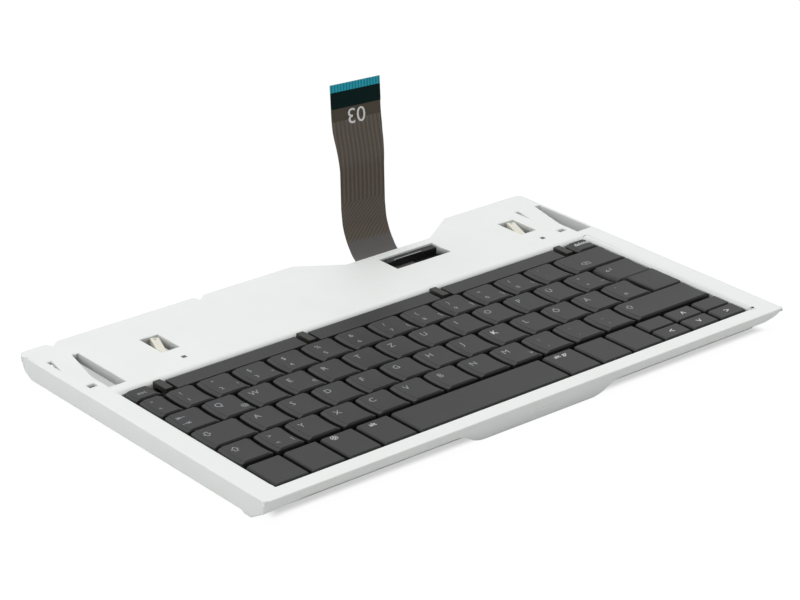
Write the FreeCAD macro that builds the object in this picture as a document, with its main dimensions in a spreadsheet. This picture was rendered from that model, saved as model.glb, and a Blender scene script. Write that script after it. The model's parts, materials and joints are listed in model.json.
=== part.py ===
"""Slide-out printer keyboard: a moulded carrier tray with a slim keyboard set into its well.

Millimetres. +X runs right along the front edge, +Y to the back, +Z up. The origin is at the middle
of the footprint, on the surface that the tray rests on. A flex tail stands up behind the shelf.
"""
import FreeCAD, Part
import Sketcher
import math
import os

V = FreeCAD.Vector
doc = FreeCAD.newDocument("PrinterKeyboard")

# Driving dimensions, one cell each.
SIZES = {
    # carrier tray
    "side_rim": 11.4,            # well edge to the outer side
    "front_rim": 8.15,           # well edge to the front edge
    "shelf_depth": 57.15,        # well edge to the rear edge
    "deck_height": 10.0,         # deck top above the resting surface
    "deck_thick": 2.0,
    "rear_corner": 3.5,          # plan radius of the rear corners
    "front_corner": 1.5,
    "well_drop": 6.6,            # deck top down to the well floor
    "well_wall": 1.8,
    "floor_thick": 1.6,
    "rim_round": 1.5,            # bevel round the mouth of the well
    "side_wall": 2.2,
    "side_lift": 1.0,            # bottom of the side walls above the resting surface
    "heel_round": 6.0,           # lower rear corner of a side wall, seen from the side
    "foot_start": 9.5,           # front foot of a side wall, measured from the front edge
    "foot_length": 4.0,
    "foot_ramp": 2.0,
    "skirt_drop": 4.6,
    "skirt_thick": 2.2,
    "front_lean": 2.6,           # how far the front face leans back over the deck height
    "belly_flat": 57.0,          # straight part of the pull lip
    "belly_ramp": 15.5,
    "runner_from_side": 39.0,
    "runner_width": 3.0,
    "rear_lip": 3.0,
    "pocket_wall": 1.4,
    "pocket_drop": 4.6,          # walls round the shelf openings, below the deck top
    # openings in the shelf
    "window_width": 8.8,
    "window_length": 16.0,
    "window_from_well": 20.1,
    "window_left_inset": 45.9,
    "window_right_inset": 22.7,
    "wedge_length": 34.8,
    "wedge_front_width": 8.2,
    "wedge_rear_width": 2.8,
    "wedge_straight": 11.8,
    "wedge_from_well": 6.7,
    "wedge_left_inset": 11.0,
    "wedge_right_inset": 1.3,
    "sliver_length": 10.8,
    "sliver_width": 2.2,
    "sliver_before_wedge": 6.6,
    "sliver_from_well": 31.2,
    "peg_hole_width": 4.0,
    "peg_hole_length": 2.9,
    "peg_hole_from_well": 10.7,
    "dimple_size": 2.2,
    "dimple_drop": 0.9,
    "dimple_from_well": 9.6,
    "slot_width": 30.0,
    "slot_length": 13.6,
    "slot_centre": 53.0,
    "slot_from_well": 25.2,
    "recess_floor": 47.5,
    "recess_depth": 13.5,
    "recess_flare": 20.0,
    "recess_centre": 47.4,
    "notch_width": 5.6,
    "notch_depth": 3.4,
    "notch_point": 1.4,          # the deepest point of a notch, from its left end
    "notch_left_inset": 13.5,
    "notch_mid_inset": 87.6,
    "pin_hole": 1.8,
    "pin_hole_out": 1.3,         # from the right front corner of the well
    "pin_hole_back": 0.6,
    # keyboard
    "key_pitch": 17.5,
    "row_pitch": 17.5,
    "bottom_row_depth": 20.4,
    "row_break": 1.0,            # between the bottom row and the rows behind it
    "strip_depth": 10.6,
    "side_clear": 0.15,
    "front_clear": 1.1,
    "rear_clear": 0.6,
    "key_gap": 1.4,
    "pair_gap": 0.9,             # between the two keys of a half-height pair
    "cap_bevel": 0.35,           # draft of a flat cap over its whole height
    "cap_draft": 0.25,           # draft of a dished cap's skirt
    "cap_shoulder": 1.2,         # sloping margin round the dish
    "shoulder_drop": 0.6,
    "cap_height": 3.3,
    "flat_cap_height": 2.7,
    "cap_wall": 1.0,
    "cap_cavity": 1.7,
    "dish_drop": 0.4,
    "key_travel": 2.0,
    "travel_clear": 0.2,
    "plate_thick": 0.6,
    "plate_clear": 0.4,
    "membrane_thick": 0.3,
    "sheet_thick": 0.3,
    "sheet_inset": 1.0,
    "dome_radius": 1.8,
    "seat_clear": 0.12,          # dome and link tops below the cap's ceiling
    "link_bar": 0.5,
    "link_thick": 0.45,
    "link_inner": 2.15,
    "link_outer": 2.75,
    "link_reach": 0.26,          # half length of a link as a share of the key's depth
    "bar_top_drop": 0.6,
    "bar_wall": 1.0,
    "end_key": 13.8,             # cell width of the two keys at the ends of the strip
    "latch_width": 4.6,
    "latch_gap": 1.3,            # between a latch tab and its neighbours in the strip
    "latch_reach": 9.3,
    "latch_plate": 2.4,
    "latch_post": 1.6,
    "latch_back": 0.2,           # clearance to the rear wall of the well
    # flex tail, its clamp and the screws
    "tail_width": 25.2,          # at the contact end
    "tail_waist": 1.4,           # how much each edge draws in below the contact end
    "tail_shift": 2.7,           # how much the left edge draws in at the foot
    "tail_head": 21.0,           # length of the wide contact end
    "tail_taper": 18.0,
    "tail_waist_low": 20.0,      # lower end of the waist, above the deck
    "tail_foot": 2.0,            # the foot's own edges start, above the deck
    "tail_thick": 0.3,
    "tail_centre": 41.6,
    "tail_rise": 76.8,           # tail end above the deck
    "tail_overhang": 3.7,        # furthest corner of the tail past the rear edge
    "tail_skew": 1.4,            # how far each edge of the standing part is turned out of square
    "tail_run_drop": 4.45,       # the run under the shelf, below the deck top
    "tail_entry": 5.4,           # level run behind the wall of the well
    "tail_ramp": 3.6,
    "tail_bend_start": 2.2,      # the bend up, behind the edge of the recess
    "tail_bend_end": 10.4,
    "tail_bend_rise": 7.5,
    "tail_lean": 0.8,
    "tail_bow_low": 33.0,        # the backward bow, down from the end
    "tail_bow_high": 20.0,
    "tail_bow_step": 1.1,
    "tail_slit": 1.0,
    "stiffener_length": 11.0,
    "stiffener_thick": 0.25,
    "clamp_thick": 1.0,
    "clamp_margin": 7.0,
    "clamp_screw_inset": 3.0,
    "clamp_clear": 0.1,
    "clamp_block": 3.7,          # depth of the block that stands up through the slot
    "clamp_block_drop": 1.0,
    "clamp_block_clear": 0.2,
    "clamp_bead": 15.2,          # length of the bead along the block's front edge
    "clamp_bead_size": 0.5,
    "clamp_bead_offset": 1.4,
    "boss_radius": 2.0,
    "screw_radius": 1.0,
    "screw_length": 2.2,
    "screw_head_radius": 1.8,
    "screw_head": 0.8,
    "screw_clear": 0.05,
    "screw_from_side": 36.0,
    "screw_from_edge": 19.0,
    # catch arms
    "arm_width": 4.0,
    "arm_lean": 6.2,             # how far the arm slants to the left over the length of its window
    "arm_thick": 3.2,
    "arm_drop": 0.5,
    "arm_clear": 0.4,
    "arm_tip_cut": 2.2,          # right corner of the oblique tip, from the rear of the window
    "arm_root": 6.0,
    "arm_root_thick": 1.2,
    "arm_neck": 2.4,
    "arm_eye": 0.7,              # radius of the hole near the tip
    "arm_eye_from_rear": 2.6,
}

# Key layout, row by row from the left: name and width in key pitches

def row_of(names, units=1.0):
    """Keys of one width."""
    return [(name, units) for name in names.split()]


ROW_NUMBERS = [("caret", 0.71), ("1", 0.86)] + row_of("2 3 4 5 6 7 8 9 0 sharp_s acute")
ROW_NUMBERS += [("backspace", 1.77)]
ROW_UPPER = [("tab", 1.0)] + row_of("q w e r t z u i o p ue plus") + [("enter", 1.34)]
ROW_HOME = [("caps_lock", 1.33)] + row_of("a s d f g h j k l oe ae hash")
ROW_LOWER = [("left_shift", 0.97), ("less", 0.85)] + row_of("y x c v b n m comma dot dash")
ROW_LOWER += [("right_shift", 2.52)]
ROW_BOTTOM = row_of("blank_1 blank_2 globe symbol_1") + [("space", 4.54)]
ROW_BOTTOM += row_of("symbol_2 blank_3 blank_4")
ROW_PAIRS = [("blank_5", "left"), ("up", "down"), ("blank_6", "right")]
PAIR_UNITS = 0.9333
ENTER_LEG = 1.01
ROW_UNITS = sum(units for _, units in ROW_NUMBERS)
MOVING_EXTRA = {"space", "left", "up", "down", "right", "backspace"}
LATCH_PLACES = (-1.0, -1 / 3, 1 / 3, 1.0)    # shares of the way from the middle to an end key
DOME_SIDES = 6
SCREW_SIDES = 8
BEND_SHARE = 0.45                # share of the shorter run that a bend of the tail takes up
OVERSHOOT = 1.0                  # how far a cutting shape reaches past what it cuts

sheet = doc.addObject("Spreadsheet::Sheet", "Sizes")
for row, (alias, number) in enumerate(SIZES.items(), start=1):
    sheet.set(f"A{row}", alias)
    sheet.set(f"B{row}", str(number))
    sheet.setAlias(f"B{row}", alias)
doc.recompute()


class Size:
    """A length and the sheet expression that it comes from, so that features can be bound to it."""

    def __init__(self, value, text):
        self.value = value
        self.text = text

    def __add__(self, other):
        other = as_size(other)
        return Size(self.value + other.value, f"({self.text} + {other.text})")

    def __sub__(self, other):
        other = as_size(other)
        return Size(self.value - other.value, f"({self.text} - {other.text})")

    def __mul__(self, other):
        other = as_size(other)
        return Size(self.value * other.value, f"({self.text} * {other.text})")

    def __truediv__(self, other):
        other = as_size(other)
        return Size(self.value / other.value, f"({self.text} / {other.text})")

    def __neg__(self):
        return Size(-self.value, f"(0 - {self.text})")

    __radd__ = __add__
    __rmul__ = __mul__


def as_size(number):
    """A plain number becomes a Size of its own."""
    if isinstance(number, Size):
        return number
    return Size(float(number), f"{float(number):.6f}")


def dim(alias):
    """The Size of one cell."""
    return Size(float(sheet.get(alias)), f"Sizes.{alias}")


# Features bound to the sheet

def bind(feature, **sizes):
    """Ties each named property of a feature to a Size."""
    for name, size in sizes.items():
        feature.setExpression(name, as_size(size).text)


def place(feature, x=0.0, y=0.0, z=0.0):
    """Ties the position of a feature to three Sizes."""
    for axis, size in zip("xyz", (x, y, z)):
        feature.setExpression(f"Placement.Base.{axis}", as_size(size).text)
    return feature


def box(name, x0, x1, y0, y1, z0, z1):
    """A box between two corners."""
    feature = doc.addObject("Part::Box", name)
    bind(feature, Length=as_size(x1) - x0, Width=as_size(y1) - y0, Height=as_size(z1) - z0)
    return place(feature, x0, y0, z0)


def cylinder(name, x, y, z0, z1, radius):
    """An upright cylinder."""
    feature = doc.addObject("Part::Cylinder", name)
    bind(feature, Radius=radius, Height=as_size(z1) - z0)
    return place(feature, x, y, z0)


def few_sided(name, x, y, z0, z1, radius):
    """An upright prism that stands for a small round piece or hole."""
    feature = doc.addObject("Part::Prism", name)
    feature.Polygon = SCREW_SIDES
    bind(feature, Circumradius=radius, Height=as_size(z1) - z0)
    return place(feature, x, y, z0)


def frustum(name, width, depth, inset, height):
    """A block centred on the origin whose top is smaller all round by inset."""
    feature = doc.addObject("Part::Wedge", name)
    feature.Placement.Rotation = FreeCAD.Rotation(V(1, 0, 0), 90)
    half_width = as_size(width) / 2
    half_depth = as_size(depth) / 2
    bind(feature, Xmin=-half_width, Xmax=half_width, Zmin=-half_depth, Zmax=half_depth, Ymin=0, Ymax=height)
    bind(feature, X2min=inset - half_width, X2max=half_width - inset)
    bind(feature, Z2min=inset - half_depth, Z2max=half_depth - inset)
    return feature


PLANES = {
    "XY": FreeCAD.Rotation(),
    "YZ": FreeCAD.Rotation(0.5, 0.5, 0.5, 0.5),
    "XZ": FreeCAD.Rotation(V(1, 0, 0), 90),
}


def arc_between(start, end, centre_x):
    """The short arc between two points whose centre has the given first coordinate.

    Also tells whether it runs from start to end, because a sketch keeps its arcs anticlockwise.
    """
    squares = end.x ** 2 - start.x ** 2 + end.y ** 2 - start.y ** 2
    centre_y = (squares - 2 * centre_x * (end.x - start.x)) / (2 * (end.y - start.y))
    centre = V(centre_x, centre_y, 0)
    circle = Part.Circle(centre, V(0, 0, 1), (start - centre).Length)
    from_angle = math.atan2(start.y - centre.y, start.x - centre.x)
    to_angle = math.atan2(end.y - centre.y, end.x - centre.x)
    turn = (to_angle - from_angle) % (2 * math.pi)
    forward = turn < math.pi
    if forward:
        return Part.ArcOfCircle(circle, from_angle, from_angle + turn), forward
    return Part.ArcOfCircle(circle, to_angle, to_angle + 2 * math.pi - turn), forward


def profile(name, plane, corners):
    """A closed sketch through corners (u, v), or (u, v, c) for an arc that arrives there.

    c is the first coordinate of the arc's centre. Every corner is held by the sheet.
    """
    sketch = doc.addObject("Sketcher::SketchObject", name)
    sketch.Placement.Rotation = PLANES[plane]
    places = [V(as_size(c[0]).value, as_size(c[1]).value, 0) for c in corners]
    ends = []
    for index, corner in enumerate(corners):
        start = places[index - 1]
        end = places[index]
        if len(corner) == 3:
            curve, forward = arc_between(start, end, as_size(corner[2]).value)
        else:
            curve, forward = Part.LineSegment(start, end), True
        sketch.addGeometry(curve, False)
        ends.append((2, 1) if forward else (1, 2))
    for index, corner in enumerate(corners):
        following = (index + 1) % len(corners)
        last_point = ends[index][0]
        first_point = ends[following][1]
        sketch.addConstraint(Sketcher.Constraint("Coincident", index, last_point, following, first_point))
        for kind, size in (("DistanceX", corner[0]), ("DistanceY", corner[1])):
            hold(sketch, kind, index, last_point, as_size(size))
        if len(corner) == 3:
            hold(sketch, "DistanceX", index, 3, as_size(corner[2]))
    return sketch


def hold(sketch, kind, edge, point, size):
    """Holds one point of a sketch at a sheet distance from the origin."""
    number = sketch.addConstraint(Sketcher.Constraint(kind, -1, 1, edge, point, size.value))
    sketch.setExpression(f"Constraints[{number}]", size.text)


def prism(name, sketch, length):
    """A sketch drawn out along its normal."""
    feature = doc.addObject("Part::Extrusion", name)
    feature.Base = sketch
    feature.DirMode = "Normal"
    feature.Solid = True
    bind(feature, LengthFwd=length)
    return feature


def fuse(name, shapes):
    """One solid from several."""
    feature = doc.addObject("Part::MultiFuse", name)
    feature.Shapes = shapes
    feature.Refine = True
    return feature


def cut(name, base, tools):
    """Base less every tool."""
    feature = doc.addObject("Part::Cut", name)
    feature.Base = base
    feature.Tool = tools[0] if len(tools) == 1 else fuse(f"{name}_tools", tools)
    feature.Refine = True
    return feature


def common(name, base, tool):
    """What two solids share."""
    feature = doc.addObject("Part::Common", name)
    feature.Base = base
    feature.Tool = tool
    feature.Refine = True
    return feature


NODES = []


def node(feature, label):
    """Names a finished sub-part and lists it for export."""
    feature.Label = label
    NODES.append(feature)
    return feature


# Places that several pieces share
deck_top = dim("deck_height")
deck_under = deck_top - dim("deck_thick")
well_width = dim("key_pitch") * ROW_UNITS + 2 * dim("side_clear")
key_rows_depth = dim("bottom_row_depth") + dim("row_break") + 4 * dim("row_pitch") + dim("strip_depth")
well_depth = dim("front_clear") + key_rows_depth + dim("rear_clear")
carrier_depth = dim("front_rim") + well_depth + dim("shelf_depth")
well_right = well_width / 2
well_left = -well_right
right = well_right + dim("side_rim")
left = -right
front = -(carrier_depth + dim("tail_overhang")) / 2
rear = front + carrier_depth
well_front = front + dim("front_rim")
well_rear = well_front + well_depth
floor_top = deck_top - dim("well_drop")
floor_under = floor_top - dim("floor_thick")
plate_top = floor_top + dim("plate_thick")
membrane_top = plate_top + dim("membrane_thick")
sheet_top = membrane_top + dim("sheet_thick")
cap_bottom = sheet_top + dim("key_travel") + dim("travel_clear")
cap_ceiling = cap_bottom + dim("cap_cavity")
rows_front = well_front + dim("front_clear")
rows_left = well_left + dim("side_clear")
tail_left = dim("tail_centre") - dim("tail_width") / 2
tail_right = dim("tail_centre") + dim("tail_width") / 2
tail_run = deck_top - dim("tail_run_drop")
slot_left = dim("slot_centre") - dim("slot_width") / 2
slot_right = dim("slot_centre") + dim("slot_width") / 2
slot_front = well_rear + dim("slot_from_well")
slot_rear = slot_front + dim("slot_length")
clamp_left = tail_left - dim("clamp_margin")
clamp_right = slot_right + dim("clamp_margin")
clamp_top = tail_run - dim("clamp_clear")
clamp_under = clamp_top - dim("clamp_thick")
slot_middle = (slot_front + slot_rear) / 2
slot_under = tail_run + 2 * dim("tail_thick")
screw_hole = dim("screw_radius") + dim("screw_clear")
clamp_screws = [(clamp_left + dim("clamp_screw_inset"), slot_middle),
                (clamp_right - dim("clamp_screw_inset"), slot_middle)]
floor_screws = [(side * (well_right - dim("screw_from_side")), y)
                for side in (-1, 1)
                for y in (well_front + dim("screw_from_edge"), well_rear - dim("screw_from_edge"))]
window_front = well_rear + dim("window_from_well")
window_rear = window_front + dim("window_length")
window_lefts = [left + dim("window_left_inset"),
                right - dim("window_right_inset") - dim("window_width")]
wedge_rights = [left + dim("wedge_left_inset") + dim("wedge_front_width"),
                right - dim("wedge_right_inset")]


# Carrier tray: deck, well, walls, pull lip, runners

def deck_outline():
    """Plan of the deck: rounded corners, two rear notches and the recess for the tail."""
    back = dim("rear_corner")
    nose = dim("front_corner")
    recess_left = dim("recess_centre") - dim("recess_floor") / 2
    recess_right = dim("recess_centre") + dim("recess_floor") / 2
    recess_front = rear - dim("recess_depth")
    corners = [
        (left, front + nose),
        (left + nose, front, left + nose),
        (right - nose, front),
        (right, front + nose, right - nose),
        (right, rear - back),
        (right - back, rear, right - back),
        (recess_right + dim("recess_flare"), rear),
        (recess_right, recess_front),
        (recess_left, recess_front),
        (recess_left - dim("recess_flare"), rear),
    ]
    for inset in ("notch_mid_inset", "notch_left_inset"):
        start = left + dim(inset)
        corners += [
            (start + dim("notch_width"), rear),
            (start + dim("notch_point"), rear - dim("notch_depth")),
            (start, rear),
        ]
    corners += [
        (left + back, rear),
        (left, rear - back, left + back),
    ]
    return corners


def side_wall(name, outer_left):
    """A side wall: front foot, straight bottom and a rounded lower rear corner."""
    heel = dim("heel_round")
    lift = dim("side_lift")
    foot = front + dim("foot_start")
    foot_end = foot + dim("foot_length")
    outline = profile(f"{name}_outline", "YZ", [
        (front, deck_under),
        (front, deck_top - dim("skirt_drop")),
        (foot, 0),
        (foot_end, 0),
        (foot_end + dim("foot_ramp"), lift),
        (rear - heel, lift),
        (rear - dim("rear_corner"), lift + heel, rear - heel),
        (rear - dim("rear_corner"), deck_under),
    ])
    place(outline, x=outer_left)
    return prism(name, outline, dim("side_wall"))


def belly():
    """The pull lip: the front skirt runs down in two smooth ramps to a straight lower edge."""
    flat = dim("belly_flat") / 2
    out = flat + dim("belly_ramp")
    mid = flat + dim("belly_ramp") / 2
    top = deck_top - dim("skirt_drop")
    outline = profile("belly_outline", "XZ", [
        (-out, deck_under),
        (-out, top),
        (-mid, top / 2, -out),
        (-flat, 0, -flat),
        (flat, 0),
        (mid, top / 2, flat),
        (out, top, out),
        (out, deck_under),
    ])
    place(outline, y=front + dim("skirt_thick") + dim("front_lean"))
    return prism("belly", outline, dim("skirt_thick") + dim("front_lean"))


def wedge_outline(name, right_edge, grow):
    """Plan of a guide slot, straight at the right and flaring to the front at the left."""
    near = well_rear + dim("wedge_from_well")
    far = near + dim("wedge_length")
    wide = right_edge - dim("wedge_front_width")
    return profile(name, "XY", [
        (right_edge + grow, near - grow),
        (right_edge + grow, far + grow),
        (right_edge - dim("wedge_rear_width") - grow, far + grow),
        (wide - grow, near + dim("wedge_straight")),
        (wide - grow, near - grow),
    ])


def carrier_solids():
    """Everything that is moulded on to the tray, before the openings are cut."""
    wall = dim("well_wall")
    pocket = dim("pocket_wall")
    pocket_under = deck_top - dim("pocket_drop")
    outline = place(profile("deck_outline", "XY", deck_outline()), z=deck_under)
    solids = [
        prism("deck", outline, dim("deck_thick")),
        box("well_block", well_left - wall, well_right + wall, well_front - wall, well_rear + wall,
            floor_under, deck_under),
        side_wall("left_wall", left),
        side_wall("right_wall", right - dim("side_wall")),
        box("skirt", left, right, front, front + dim("skirt_thick") + dim("front_lean") / 2,
            deck_top - dim("skirt_drop"), deck_under),
        belly(),
        box("slot_frame", slot_left - pocket, slot_right + pocket, slot_front - pocket, slot_rear + pocket,
            slot_under, deck_under),
    ]
    runner = right - dim("runner_from_side")
    half = dim("runner_width") / 2
    for name, middle in (("left_runner", -runner), ("right_runner", runner)):
        solids.append(box(name, middle - half, middle + half, well_rear + wall,
                          rear - dim("rear_corner"), 0, deck_under))
    recess_reach = dim("recess_floor") / 2 + dim("recess_flare")
    lips = (("left_lip", left + dim("rear_corner"), dim("recess_centre") - recess_reach),
            ("right_lip", dim("recess_centre") + recess_reach, right - dim("rear_corner")))
    for name, start, end in lips:
        solids.append(box(name, start, end, rear - pocket, rear, deck_under - dim("rear_lip"), deck_under))
    for index, start in enumerate(window_lefts):
        solids.append(box(f"window_frame_{index}", start - pocket, start + dim("window_width") + pocket,
                          window_front - pocket, window_rear + pocket, pocket_under, deck_under))
    for index, edge in enumerate(wedge_rights):
        grow = pocket if index == 0 else dim("wedge_right_inset")
        outline = wedge_outline(f"wedge_wall_outline_{index}", edge, grow)
        place(outline, z=pocket_under)
        solids.append(prism(f"wedge_wall_{index}", outline, deck_under - pocket_under))
    for index, (x, y) in enumerate(clamp_screws):
        solids.append(few_sided(f"clamp_boss_{index}", x, y, clamp_top, deck_under, dim("boss_radius")))
    return solids


def carrier_openings():
    """The well, the shelf openings, the screw holes and the lean of the front face."""
    over = deck_top + OVERSHOOT
    tools = [
        box("well", well_left, well_right, well_front, well_rear, floor_top, over),
        box("slot", slot_left, slot_right, slot_front, slot_rear, floor_under, over),
        box("tail_gap", tail_left - dim("tail_slit"), tail_right + dim("tail_slit"), well_rear - OVERSHOOT,
            well_rear + dim("well_wall") + OVERSHOOT, plate_top - dim("tail_slit") / 2,
            membrane_top + dim("tail_slit") / 2),
        cylinder("pin_hole", well_right + dim("pin_hole_out"), well_front + dim("pin_hole_back"),
                 deck_under, over, dim("pin_hole") / 2),
    ]
    mouth = frustum("well_mouth", well_width + 2 * dim("rim_round"), well_depth + 2 * dim("rim_round"),
                    dim("rim_round"), dim("rim_round"))
    mouth.Placement.Rotation = FreeCAD.Rotation(V(1, 0, 0), -90)
    tools.append(place(mouth, y=(well_front + well_rear) / 2, z=deck_top))
    for index, start in enumerate(window_lefts):
        middle = start + dim("window_width") / 2
        dimple_half = dim("dimple_size") / 2
        dimple_front = well_rear + dim("dimple_from_well")
        tools.append(box(f"window_{index}", start, start + dim("window_width"), window_front, window_rear,
                         0, over))
        tools.append(box(f"dimple_{index}", middle - dimple_half, middle + dimple_half, dimple_front,
                         dimple_front + dim("dimple_size"), deck_top - dim("dimple_drop"), over))
    for index, edge in enumerate(wedge_rights):
        outline = place(wedge_outline(f"wedge_outline_{index}", edge, as_size(0)), z=0)
        tools.append(prism(f"wedge_{index}", outline, over))
        start = edge - dim("wedge_front_width") - dim("sliver_before_wedge")
        near = well_rear + dim("sliver_from_well")
        sliver = profile(f"sliver_outline_{index}", "XY", [
            (start, near),
            (start + dim("sliver_width"), near + dim("sliver_length")),
            (start, near + dim("sliver_length")),
        ])
        place(sliver, z=deck_under - OVERSHOOT)
        tools.append(prism(f"sliver_{index}", sliver, over - deck_under + OVERSHOOT))
        hole_front = well_rear + dim("peg_hole_from_well")
        tools.append(box(f"peg_hole_{index}", start, start + dim("peg_hole_width"), hole_front,
                         hole_front + dim("peg_hole_length"), deck_under - OVERSHOOT, over))
    for index, (x, y) in enumerate(floor_screws):
        tools.append(few_sided(f"floor_hole_{index}", x, y, 0, floor_top + OVERSHOOT,
                               screw_hole + dim("screw_clear")))
    for index, (x, y) in enumerate(clamp_screws):
        tools.append(few_sided(f"boss_hole_{index}", x, y, clamp_under, deck_under, screw_hole))
    lean = profile("lean_outline", "YZ", [
        (front - OVERSHOOT, deck_top),
        (front, deck_top),
        (front + dim("front_lean"), 0),
        (front + dim("front_lean"), -OVERSHOOT),
        (front - OVERSHOOT, -OVERSHOOT),
    ])
    tools.append(prism("lean", place(lean, x=left - OVERSHOOT), 2 * right + 2 * OVERSHOOT))
    return tools


tray = cut("tray", fuse("tray_solids", carrier_solids()), carrier_openings())
node(tray, "carrier_tray")


# Catch arms, one in each shelf window, hung from the deck at the front

def catch_arm(name, window_left):
    """A springy arm that crosses the window at a slant, with an eye near its free tip."""
    slack = dim("arm_clear")
    arm_top = deck_top - dim("arm_drop")
    arm_under = arm_top - dim("arm_thick")
    root_top = deck_top - dim("pocket_drop")
    root_under = root_top - dim("arm_root_thick")
    rear_right = window_left + dim("window_width")
    rear_left = rear_right - dim("arm_width")
    front_right = rear_right - dim("arm_lean")
    slant = dim("arm_lean") / dim("window_length")
    outline = profile(f"{name}_outline", "XY", [
        (rear_left - slant * slack, window_rear - slack),
        (rear_left - dim("arm_lean"), window_front),
        (front_right, window_front),
        (rear_right - slant * dim("arm_tip_cut"), window_rear - dim("arm_tip_cut")),
    ])
    strip = prism(f"{name}_strip", place(outline, z=arm_under), dim("arm_thick"))
    room = box(f"{name}_room", window_left + slack, rear_right - slack, window_front + slack,
               window_rear - slack, arm_under, arm_top)
    neck_rear = window_front + slack + dim("arm_neck")
    arm = fuse(f"{name}_bar", [
        common(f"{name}_blade", strip, room),
        box(f"{name}_neck", window_left + slack, front_right, window_front + slack, neck_rear,
            root_under, arm_under),
        box(f"{name}_root", window_left + slack, front_right, window_front - dim("arm_root"), neck_rear,
            root_under, root_top),
    ])
    eye_back = dim("arm_eye_from_rear")
    eye = few_sided(f"{name}_eye", (rear_left + rear_right) / 2 - slant * eye_back, window_rear - eye_back,
                    arm_under, arm_top, dim("arm_eye"))
    return cut(name, arm, [eye])


node(catch_arm("left_arm", window_lefts[0]), "left_catch_arm")
node(catch_arm("right_arm", window_lefts[1]), "right_catch_arm")


# Keyboard layers: steel plate, membrane, dome sheet

def layer(name, inset, z0, z1):
    """A flat sheet that fills the well less an inset."""
    return box(name, well_left + inset, well_right - inset, well_front + inset, well_rear - inset, z0, z1)


plate_holes = [few_sided(f"plate_hole_{index}", x, y, floor_top, plate_top, screw_hole)
               for index, (x, y) in enumerate(floor_screws)]
plate = cut("plate", layer("plate_blank", dim("plate_clear"), floor_top, plate_top), plate_holes)
node(plate, "keyboard_base_plate")
node(layer("membrane", dim("sheet_inset"), plate_top, membrane_top), "membrane_sheet")


class Key:
    """One key: its name, the middle and size of its cell, and how its cap is shaped."""

    def __init__(self, name, x, y, width, depth, dished, moving):
        self.name = name
        self.x = x
        self.y = y
        self.width = width - dim("key_gap")
        self.depth = depth
        self.height = dim("cap_height") if dished else dim("flat_cap_height")
        self.dished = dished
        self.moving = moving


def keys_in_row(row, row_front, row_depth, dished, moving):
    """Keys laid side by side from the left end of the well."""
    keys = []
    units_done = 0.0
    for name, units in row:
        width = dim("key_pitch") * units
        x = rows_left + dim("key_pitch") * units_done + width / 2
        y = row_front + row_depth / 2
        moves = moving or name in MOVING_EXTRA
        keys.append(Key(name, x, y, width, row_depth - dim("key_gap"), dished, moves))
        units_done += units
    return keys


def pair_keys(row_front):
    """The half-height pairs at the right end of the bottom row."""
    keys = []
    depth = (dim("bottom_row_depth") - dim("key_gap") - dim("pair_gap")) / 2
    units_done = sum(units for _, units in ROW_BOTTOM)
    for rear_name, front_name in ROW_PAIRS:
        x = rows_left + dim("key_pitch") * (units_done + PAIR_UNITS / 2)
        near = row_front + dim("key_gap") / 2 + depth / 2
        for name, y in ((front_name, near), (rear_name, near + depth + dim("pair_gap"))):
            width = dim("key_pitch") * PAIR_UNITS
            keys.append(Key(name, x, y, width, depth, False, name in MOVING_EXTRA))
        units_done += PAIR_UNITS
    return keys


def strip_keys(row_front):
    """The two keys that close the ends of the filler strip."""
    keys = []
    middle = rows_left + dim("end_key") / 2
    y = row_front + dim("strip_depth") / 2
    for name, x in (("escape", middle), ("delete", -middle)):
        keys.append(Key(name, x, y, dim("end_key"), dim("strip_depth") - dim("key_gap"), True, False))
    return keys


second_row = rows_front + dim("bottom_row_depth") + dim("row_break")
row_fronts = [rows_front] + [second_row + dim("row_pitch") * step for step in range(5)]
strip_front = row_fronts[5]
KEYS = keys_in_row(ROW_BOTTOM, row_fronts[0], dim("bottom_row_depth"), False, False)
KEYS += pair_keys(row_fronts[0])
KEYS += keys_in_row(ROW_LOWER, row_fronts[1], dim("row_pitch"), True, True)
KEYS += keys_in_row(ROW_HOME, row_fronts[2], dim("row_pitch"), True, True)
KEYS += keys_in_row(ROW_UPPER, row_fronts[3], dim("row_pitch"), True, True)
KEYS += keys_in_row(ROW_NUMBERS, row_fronts[4], dim("row_pitch"), True, False)
KEYS += strip_keys(strip_front)


# Dome sheet: one rubber dome under every key, with flat sides
dome_height = cap_ceiling - dim("seat_clear") - sheet_top
domes = [layer("dome_blank", dim("sheet_inset"), membrane_top, sheet_top)]
for key in KEYS:
    dome = doc.addObject("Part::Prism", f"dome_{key.name}")
    dome.Polygon = DOME_SIDES
    bind(dome, Circumradius=dim("dome_radius"), Height=dome_height)
    domes.append(place(dome, key.x, key.y, sheet_top))
node(fuse("dome_sheet", domes), "dome_sheet")


# Scissor links: four inclined bars under every key, crossing in pairs

def link_bars(key, top):
    """The four bars of one scissor as solids: the inner pair rises to the back, the outer to the front."""
    bars = []
    reach = key.depth.value * dim("link_reach").value
    run = dim("link_thick").value
    low = sheet_top.value
    for slope, offset in ((1, dim("link_inner").value), (-1, dim("link_outer").value)):
        corners = [(-slope * reach - run, low), (-slope * reach + run, low),
                   (slope * reach + run, top), (slope * reach - run, top)]
        for side in (-1, 1):
            x = key.x.value + side * (offset + dim("link_bar").value / 2) - dim("link_bar").value / 2
            ring = [V(x, key.y.value + y, z) for y, z in corners]
            face = Part.Face(Part.makePolygon(ring + ring[:1]))
            bars.append(face.extrude(V(dim("link_bar").value, 0, 0)))
    return bars


links = doc.addObject("Part::Feature", "links")
link_top = (cap_ceiling - dim("seat_clear")).value
links.Shape = Part.makeCompound([bar for key in KEYS if key.moving for bar in link_bars(key, link_top)])
node(links, "scissor_links")


# Keycaps: hollow shells, dished in all rows but the bottom one

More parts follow.
